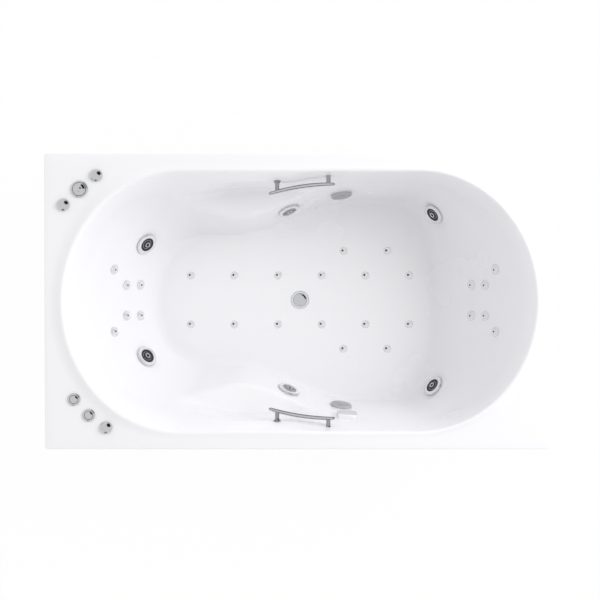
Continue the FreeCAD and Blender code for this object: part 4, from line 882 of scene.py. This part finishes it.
def bar_out(k):
    """How far out the bar's middle line runs: a slope with a bow of 10 mm, k from -1 to 1."""
    return 0.4225 + 0.0185 * k + 0.01 * (1 - k * k)


def bar_grid(side, thick=0.0078, tall=1.1):
    """The bar: an upright oval that thins along its run and rounds off at both tips."""
    k = np.sin(np.linspace(-math.pi / 2, math.pi / 2, 61))
    centre = np.column_stack([BAR_X + BAR_HALF * k, side * bar_out(k), np.full(len(k), RIM - BAR_DROP)])
    out = np.cross(unit(np.gradient(centre, axis=0)), UP)
    tip = np.sqrt(np.clip(1 - np.clip((np.abs(k) - 0.93) / 0.07, 0, 1) ** 2, 0, 1))
    radius = (thick * (1 - 0.25 * k * k) * tip)[None, :, None]
    a = np.linspace(0, 2 * math.pi, 28, endpoint=False)[:, None, None]
    return centre[None] + radius * (np.cos(a) * out[None] + tall * np.sin(a) * UP)


bars = piece("grab_bars", [bar_grid(side) for side in (-1, 1)], BAR_CHROME_PAINTED_REFLECTION, sharp=None)
stands_for(bars, "handle_bars")
posts = []
for side in (-1, 1):
    for x, wall_y in ((-0.086, 0.450), (0.107, 0.478)):
        out = bar_out((x - BAR_X) / BAR_HALF)
        foot = 1000 * (wall_y - out)
        line = [(0, 0), (6.4, 0), (7.8, 5), (8, foot - 9), (9.6, foot - 4), (13, foot - 1.5), (13, foot + 4),
                (0, foot + 4)]
        start = np.array([x, side * out, RIM - BAR_DROP])
        profile = soft_profile(np.array(line) / 1000, 0.002)
        posts.append(turned_grid(profile, start, np.array([0.0, side, 0.0]), 40))
posts = piece("grab_bar_posts", posts, POST_CHROME_PAINTED_REFLECTION)
stands_for(posts, "handle_posts")


# %% [markdown]
# ## Under the tub
# The water and air lines are worked out again as round pipes on bent paths.  Each starts at the
# back of a fitting: so many millimetres behind its seat.

# %% lines under the tub
def behind(place, gap):
    """The point so far behind a fitting, in metres."""
    return place[0] - place[1] * gap


def at(x, y, z=345):
    """A point given in millimetres, at the height of the long water lines unless z says more."""
    return np.array([x, y, z], float) / 1000


def lines(name, runs, material, node):
    """Several pipes as one piece: each run is (points, how wide, bend)."""
    made = piece(name, [pipe_grid(points, wide, bend) for points, wide, bend in runs], material, sharp=50)
    stands_for(made, node)


BASE = FLOOR - SKIN - 0.018
PUMP_X, AXLE = -0.836, BASE + 0.013 + 0.064
VOLUTE_Y, LINE = 0.12, 0.345
OUTLET = np.array([PUMP_X + 0.03, VOLUTE_Y + 0.028, AXLE + 0.071 + 0.026])
TEE = np.array([OUTLET[0], OUTLET[1], LINE])
INLET = np.array([PUMP_X, VOLUTE_Y + 0.084, AXLE])
starts = []
for side, place in zip((1, -1), SUCTIONS):
    bend = behind(place, 0.082)
    swing = bend + at(-26, side * 12, -12)
    starts.append([behind(place, 0.066), bend, swing, swing + at(-84, -side * 44, -86)])
JOIN = at(-735, 415, 186)
front = starts[0] + [at(-600, 464, 172), np.array([PUMP_X + 0.07, 0.4, 0.19]), INLET + at(0, 60, 0), INLET]
back = starts[1] + [at(-610, -464, 172), at(-735, -380, 176), JOIN]
runs = [(front, 0.046, 0.05), (back, 0.046, 0.05)]
lines("suction_lines", runs, PIPE_WHITE, "suction_pipes")

MANIFOLDS = [(-1, at(-757, 0, 260)), (1, at(800, 0, 285))]
runs = [([OUTLET, TEE], 0.036, 0.05)]
for side, ids in ((1, (0, 2, 4)), (-1, (1, 3, 5))):
    ends = [behind(JETS[k], 0.084) for k in ids]
    last = behind(JETS[ids[2]], 0.114)
    corner = last + at(0, side * 34, 6)
    runs.append(([TEE, at(-770, side * 330), at(-640, side * 478), at(-110, side * 478),
                  at(90, side * 520), at(420, side * 515), at(540, side * 500, 330), corner, last,
                  ends[2]], 0.032, 0.04))
    near = [at(-700, side * 409), np.array([ends[1][0] - 0.04, side * 0.478, LINE])]
    for k in (0, 1):
        runs.append(([ends[k], behind(JETS[ids[k]], 0.1), near[k]], 0.026, 0.02))
    runs.append(([corner, at(720, side * 300, 300), at(800, side * 150, 285)], 0.02, 0.04))
runs.append(([TEE + at(4, -50, 0), at(-761, 60, 286), at(-757, 60, 260)], 0.02, 0.02))
lines("pressure_lines", runs, PIPE_WHITE, "pressure_pipes")

runs = []
for sign, middle in MANIFOLDS:
    runs.append(([middle + at(0, -158, 0), middle + at(0, 158, 0)], 0.03, 0.02))
    for place in BACK_JETS:
        if place[0][0] * sign > 0:
            tail = behind(place, 0.042)
            runs.append(([tail, behind(place, 0.054), np.array([middle[0], tail[1], middle[2]])], 0.012, 0.01))
lines("jet_manifolds", runs, PIPE_WHITE, "back_jet_manifolds")

LOW = FLOOR - 0.034 - 0.010
HEADER = np.array([0.705, 0.0, BASE + 0.016])
runs = [([HEADER + at(0, -214, 0), HEADER + at(0, 214, 0)], 0.026, 0.02)]
for y, start in ((ROW, -2.7 * PITCH), (2 * ROW, 0.8 * PITCH)):
    for side in (-1, 1):
        runs.append(([np.array([start, y * side, LOW]), np.array([0.669, y * side, LOW]),
                      np.array([0.705, y * side, HEADER[2]])], 0.02, 0.02))
lines("air_lines", runs, PIPE_GREY, "air_rails")
blower = np.array([0.826, 0.125, BASE + 0.06])
elbow = [blower, blower + at(0, 40, 0), HEADER + at(55, 185, 18), HEADER + at(0, 185, 0)]
lines("air_feed", [(elbow, 0.038, 0.03)], PIPE_GREY, "air_supply_pipe")
JET_CUP = [(12, -84), (16, -84), (16, -66), (27, -66), (27, -20), (39, -20), (39, -8), (27, -8), (27, 0),
           (41, 0), (41, 3), (23, 3), (23, -60), (12, -60), (12, -84)]
fitting("jet_cups", JET_CUP, JETS, WHITE_PLASTIC, node="jet_bodies")
SUCTION_CUP = [(16, -66), (25, -66), (25, -20), (38, -20), (38, -8), (26.8, -8), (26.8, 0), (41, 0), (41, 3),
               (21, 3), (21, -60), (16, -60), (16, -66)]
fitting("suction_cups", SUCTION_CUP, SUCTIONS, WHITE_PLASTIC, node="suction_bodies")
fitting("air_cups", [(0, -34), (9, -34), (9, 0), (0, 0)], FLOOR_JETS, WHITE_PLASTIC, node="floor_jet_bodies",
        sides=24)


# %% round shading on the parts from model.glb that are already round
def smoothed(node, material):
    """A copy of a part from model.glb: its loose triangles are joined and its round sides shaded smooth."""
    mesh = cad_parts[node].data.copy()
    clean(mesh, sharp=35)
    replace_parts(placed(node + "_smooth", mesh, material, node if node in ROTORS else "tub"), node)


ROTORS = ("pump_rotor", "blower_rotor")
SMOOTHED = {"waste_body": WHITE_PLASTIC, "waste_trap": WHITE_PLASTIC, "overflow_body": WHITE_PLASTIC,
            "overflow_pipe": PIPE_WHITE, "pump_motor": ALLOY, "pump_volute": BLACK, "pump_rotor": ZINC,
            "blower_housing": BLACK, "blower_rotor": BLACK, "control_box": GREY, "foot_pads": RUBBER,
            "foot_screws": ZINC, "drain_gasket": RUBBER}
for node, material in SMOOTHED.items():
    smoothed(node, material)


# %% [markdown]
# ## Floor and light
# A wide white floor and one large soft lamp from the right, with a pale sky all round.

# %% stage
def white_floor(glow_share):
    """A floor that is nearly white by itself and keeps a little of the shadow."""
    mesh = bpy.data.meshes.new("studio_floor")
    mesh.from_pydata([(-8, -8, 0), (8, -8, 0), (8, 8, 0), (-8, 8, 0)], [], [(0, 1, 2, 3)])
    floor = linked("studio_floor", mesh)
    mat = bpy.data.materials.new("studio_white")
    mat.use_nodes = True
    tree = mat.node_tree
    shader, out = tree.nodes["Principled BSDF"], tree.nodes["Material Output"]
    put(shader, {"Base Color": (0.9, 0.9, 0.9, 1), "Roughness": 0.8})
    glow, path = tree.nodes.new("ShaderNodeEmission"), tree.nodes.new("ShaderNodeLightPath").outputs
    put(glow, {"Color": (1, 1, 1, 1), "Strength": 1.0})
    mirrored = maths(tree, "MAXIMUM", path["Is Glossy Ray"], path["Is Transmission Ray"])
    seen = maths(tree, "MAXIMUM", path["Is Camera Ray"], mirrored)
    mix, share = tree.nodes.new("ShaderNodeMixShader"), maths(tree, "MULTIPLY", seen, glow_share)
    for number, value in enumerate((share, shader.outputs[0], glow.outputs[0])):
        feed(tree, mix.inputs[number], value)
    tree.links.new(mix.outputs[0], out.inputs["Surface"])
    mesh.materials.append(mat)


def soft_lamp(name, place, target, size, power):
    """A square soft lamp aimed from its place at a target.  It lights but is not mirrored."""
    data = bpy.data.lights.new(name, "AREA")
    data.shape, data.size, data.energy = "SQUARE", size, power
    lamp = linked(name, data)
    lamp.location = place
    lamp.visible_glossy = False
    lamp.rotation_euler = (Vector(target) - Vector(place)).to_track_quat("-Z", "Y").to_euler()


def facing_dot(tree, vector):
    """How far a ray of the world points along a vector: their dot product."""
    look, dot = tree.nodes.new("ShaderNodeTexCoord"), tree.nodes.new("ShaderNodeVectorMath")
    dot.operation = "DOT_PRODUCT"
    put(dot, {1: vector})
    tree.links.new(look.outputs["Generated"], dot.inputs[0])
    return dot.outputs["Value"]


def pale_sky(zenith, horizon, behind_gain, gloss, flags, soft=3):
    """Three skies in one: white to the eye, a soft slope of light, and a darker one for gloss.

    The light goes from zenith to horizon and grows towards the tub's back.  Gloss sees one level
    with dark flags in it: (azimuth, height, half width) in degrees, soft at the edge.
    """
    world = bpy.data.worlds.new("pale_sky")
    bpy.context.scene.world = world
    world.use_nodes = True
    tree = world.node_tree
    back, path = tree.nodes["Background"], tree.nodes.new("ShaderNodeLightPath").outputs
    put(back, {"Color": (1, 1, 1, 1)})
    light = maths(tree, "ADD", facing_dot(tree, (0.0, behind_gain, zenith - horizon)), horizon)
    shade = gloss
    for azimuth, height, half in flags:
        turn, rise = math.radians(azimuth), math.radians(height)
        middle = (math.cos(turn) * math.cos(rise), math.sin(turn) * math.cos(rise), math.sin(rise))
        edge = tree.nodes.new("ShaderNodeMapRange")
        low, high = math.cos(math.radians(half + soft)), math.cos(math.radians(half - soft))
        put(edge, {"From Min": low, "From Max": high, "To Min": 1.0, "To Max": 0.02})
        tree.links.new(facing_dot(tree, middle), edge.inputs["Value"])
        shade = maths(tree, "MULTIPLY", edge.outputs["Result"], shade)
    glossy = mixed(tree, path["Is Glossy Ray"], light, shade)
    seen = maths(tree, "MAXIMUM", path["Is Camera Ray"], path["Is Transmission Ray"])
    tree.links.new(mixed(tree, seen, glossy, 1.0), back.inputs["Strength"])


white_floor(glow_share=0.97)
pale_sky(zenith=0.64, horizon=1.2, behind_gain=0.05, gloss=0.78, flags=[(42, 30, 30), (-97, 4, 15)])
soft_lamp("key", place=(4.6, 2.0, 4.2), target=(-0.2, 0.0, 0.4), size=3.0, power=165.0)


# %% [markdown]
# ## Finish
# At the end the view layer is brought up to date.

# %% finish
bpy.context.view_layer.update()
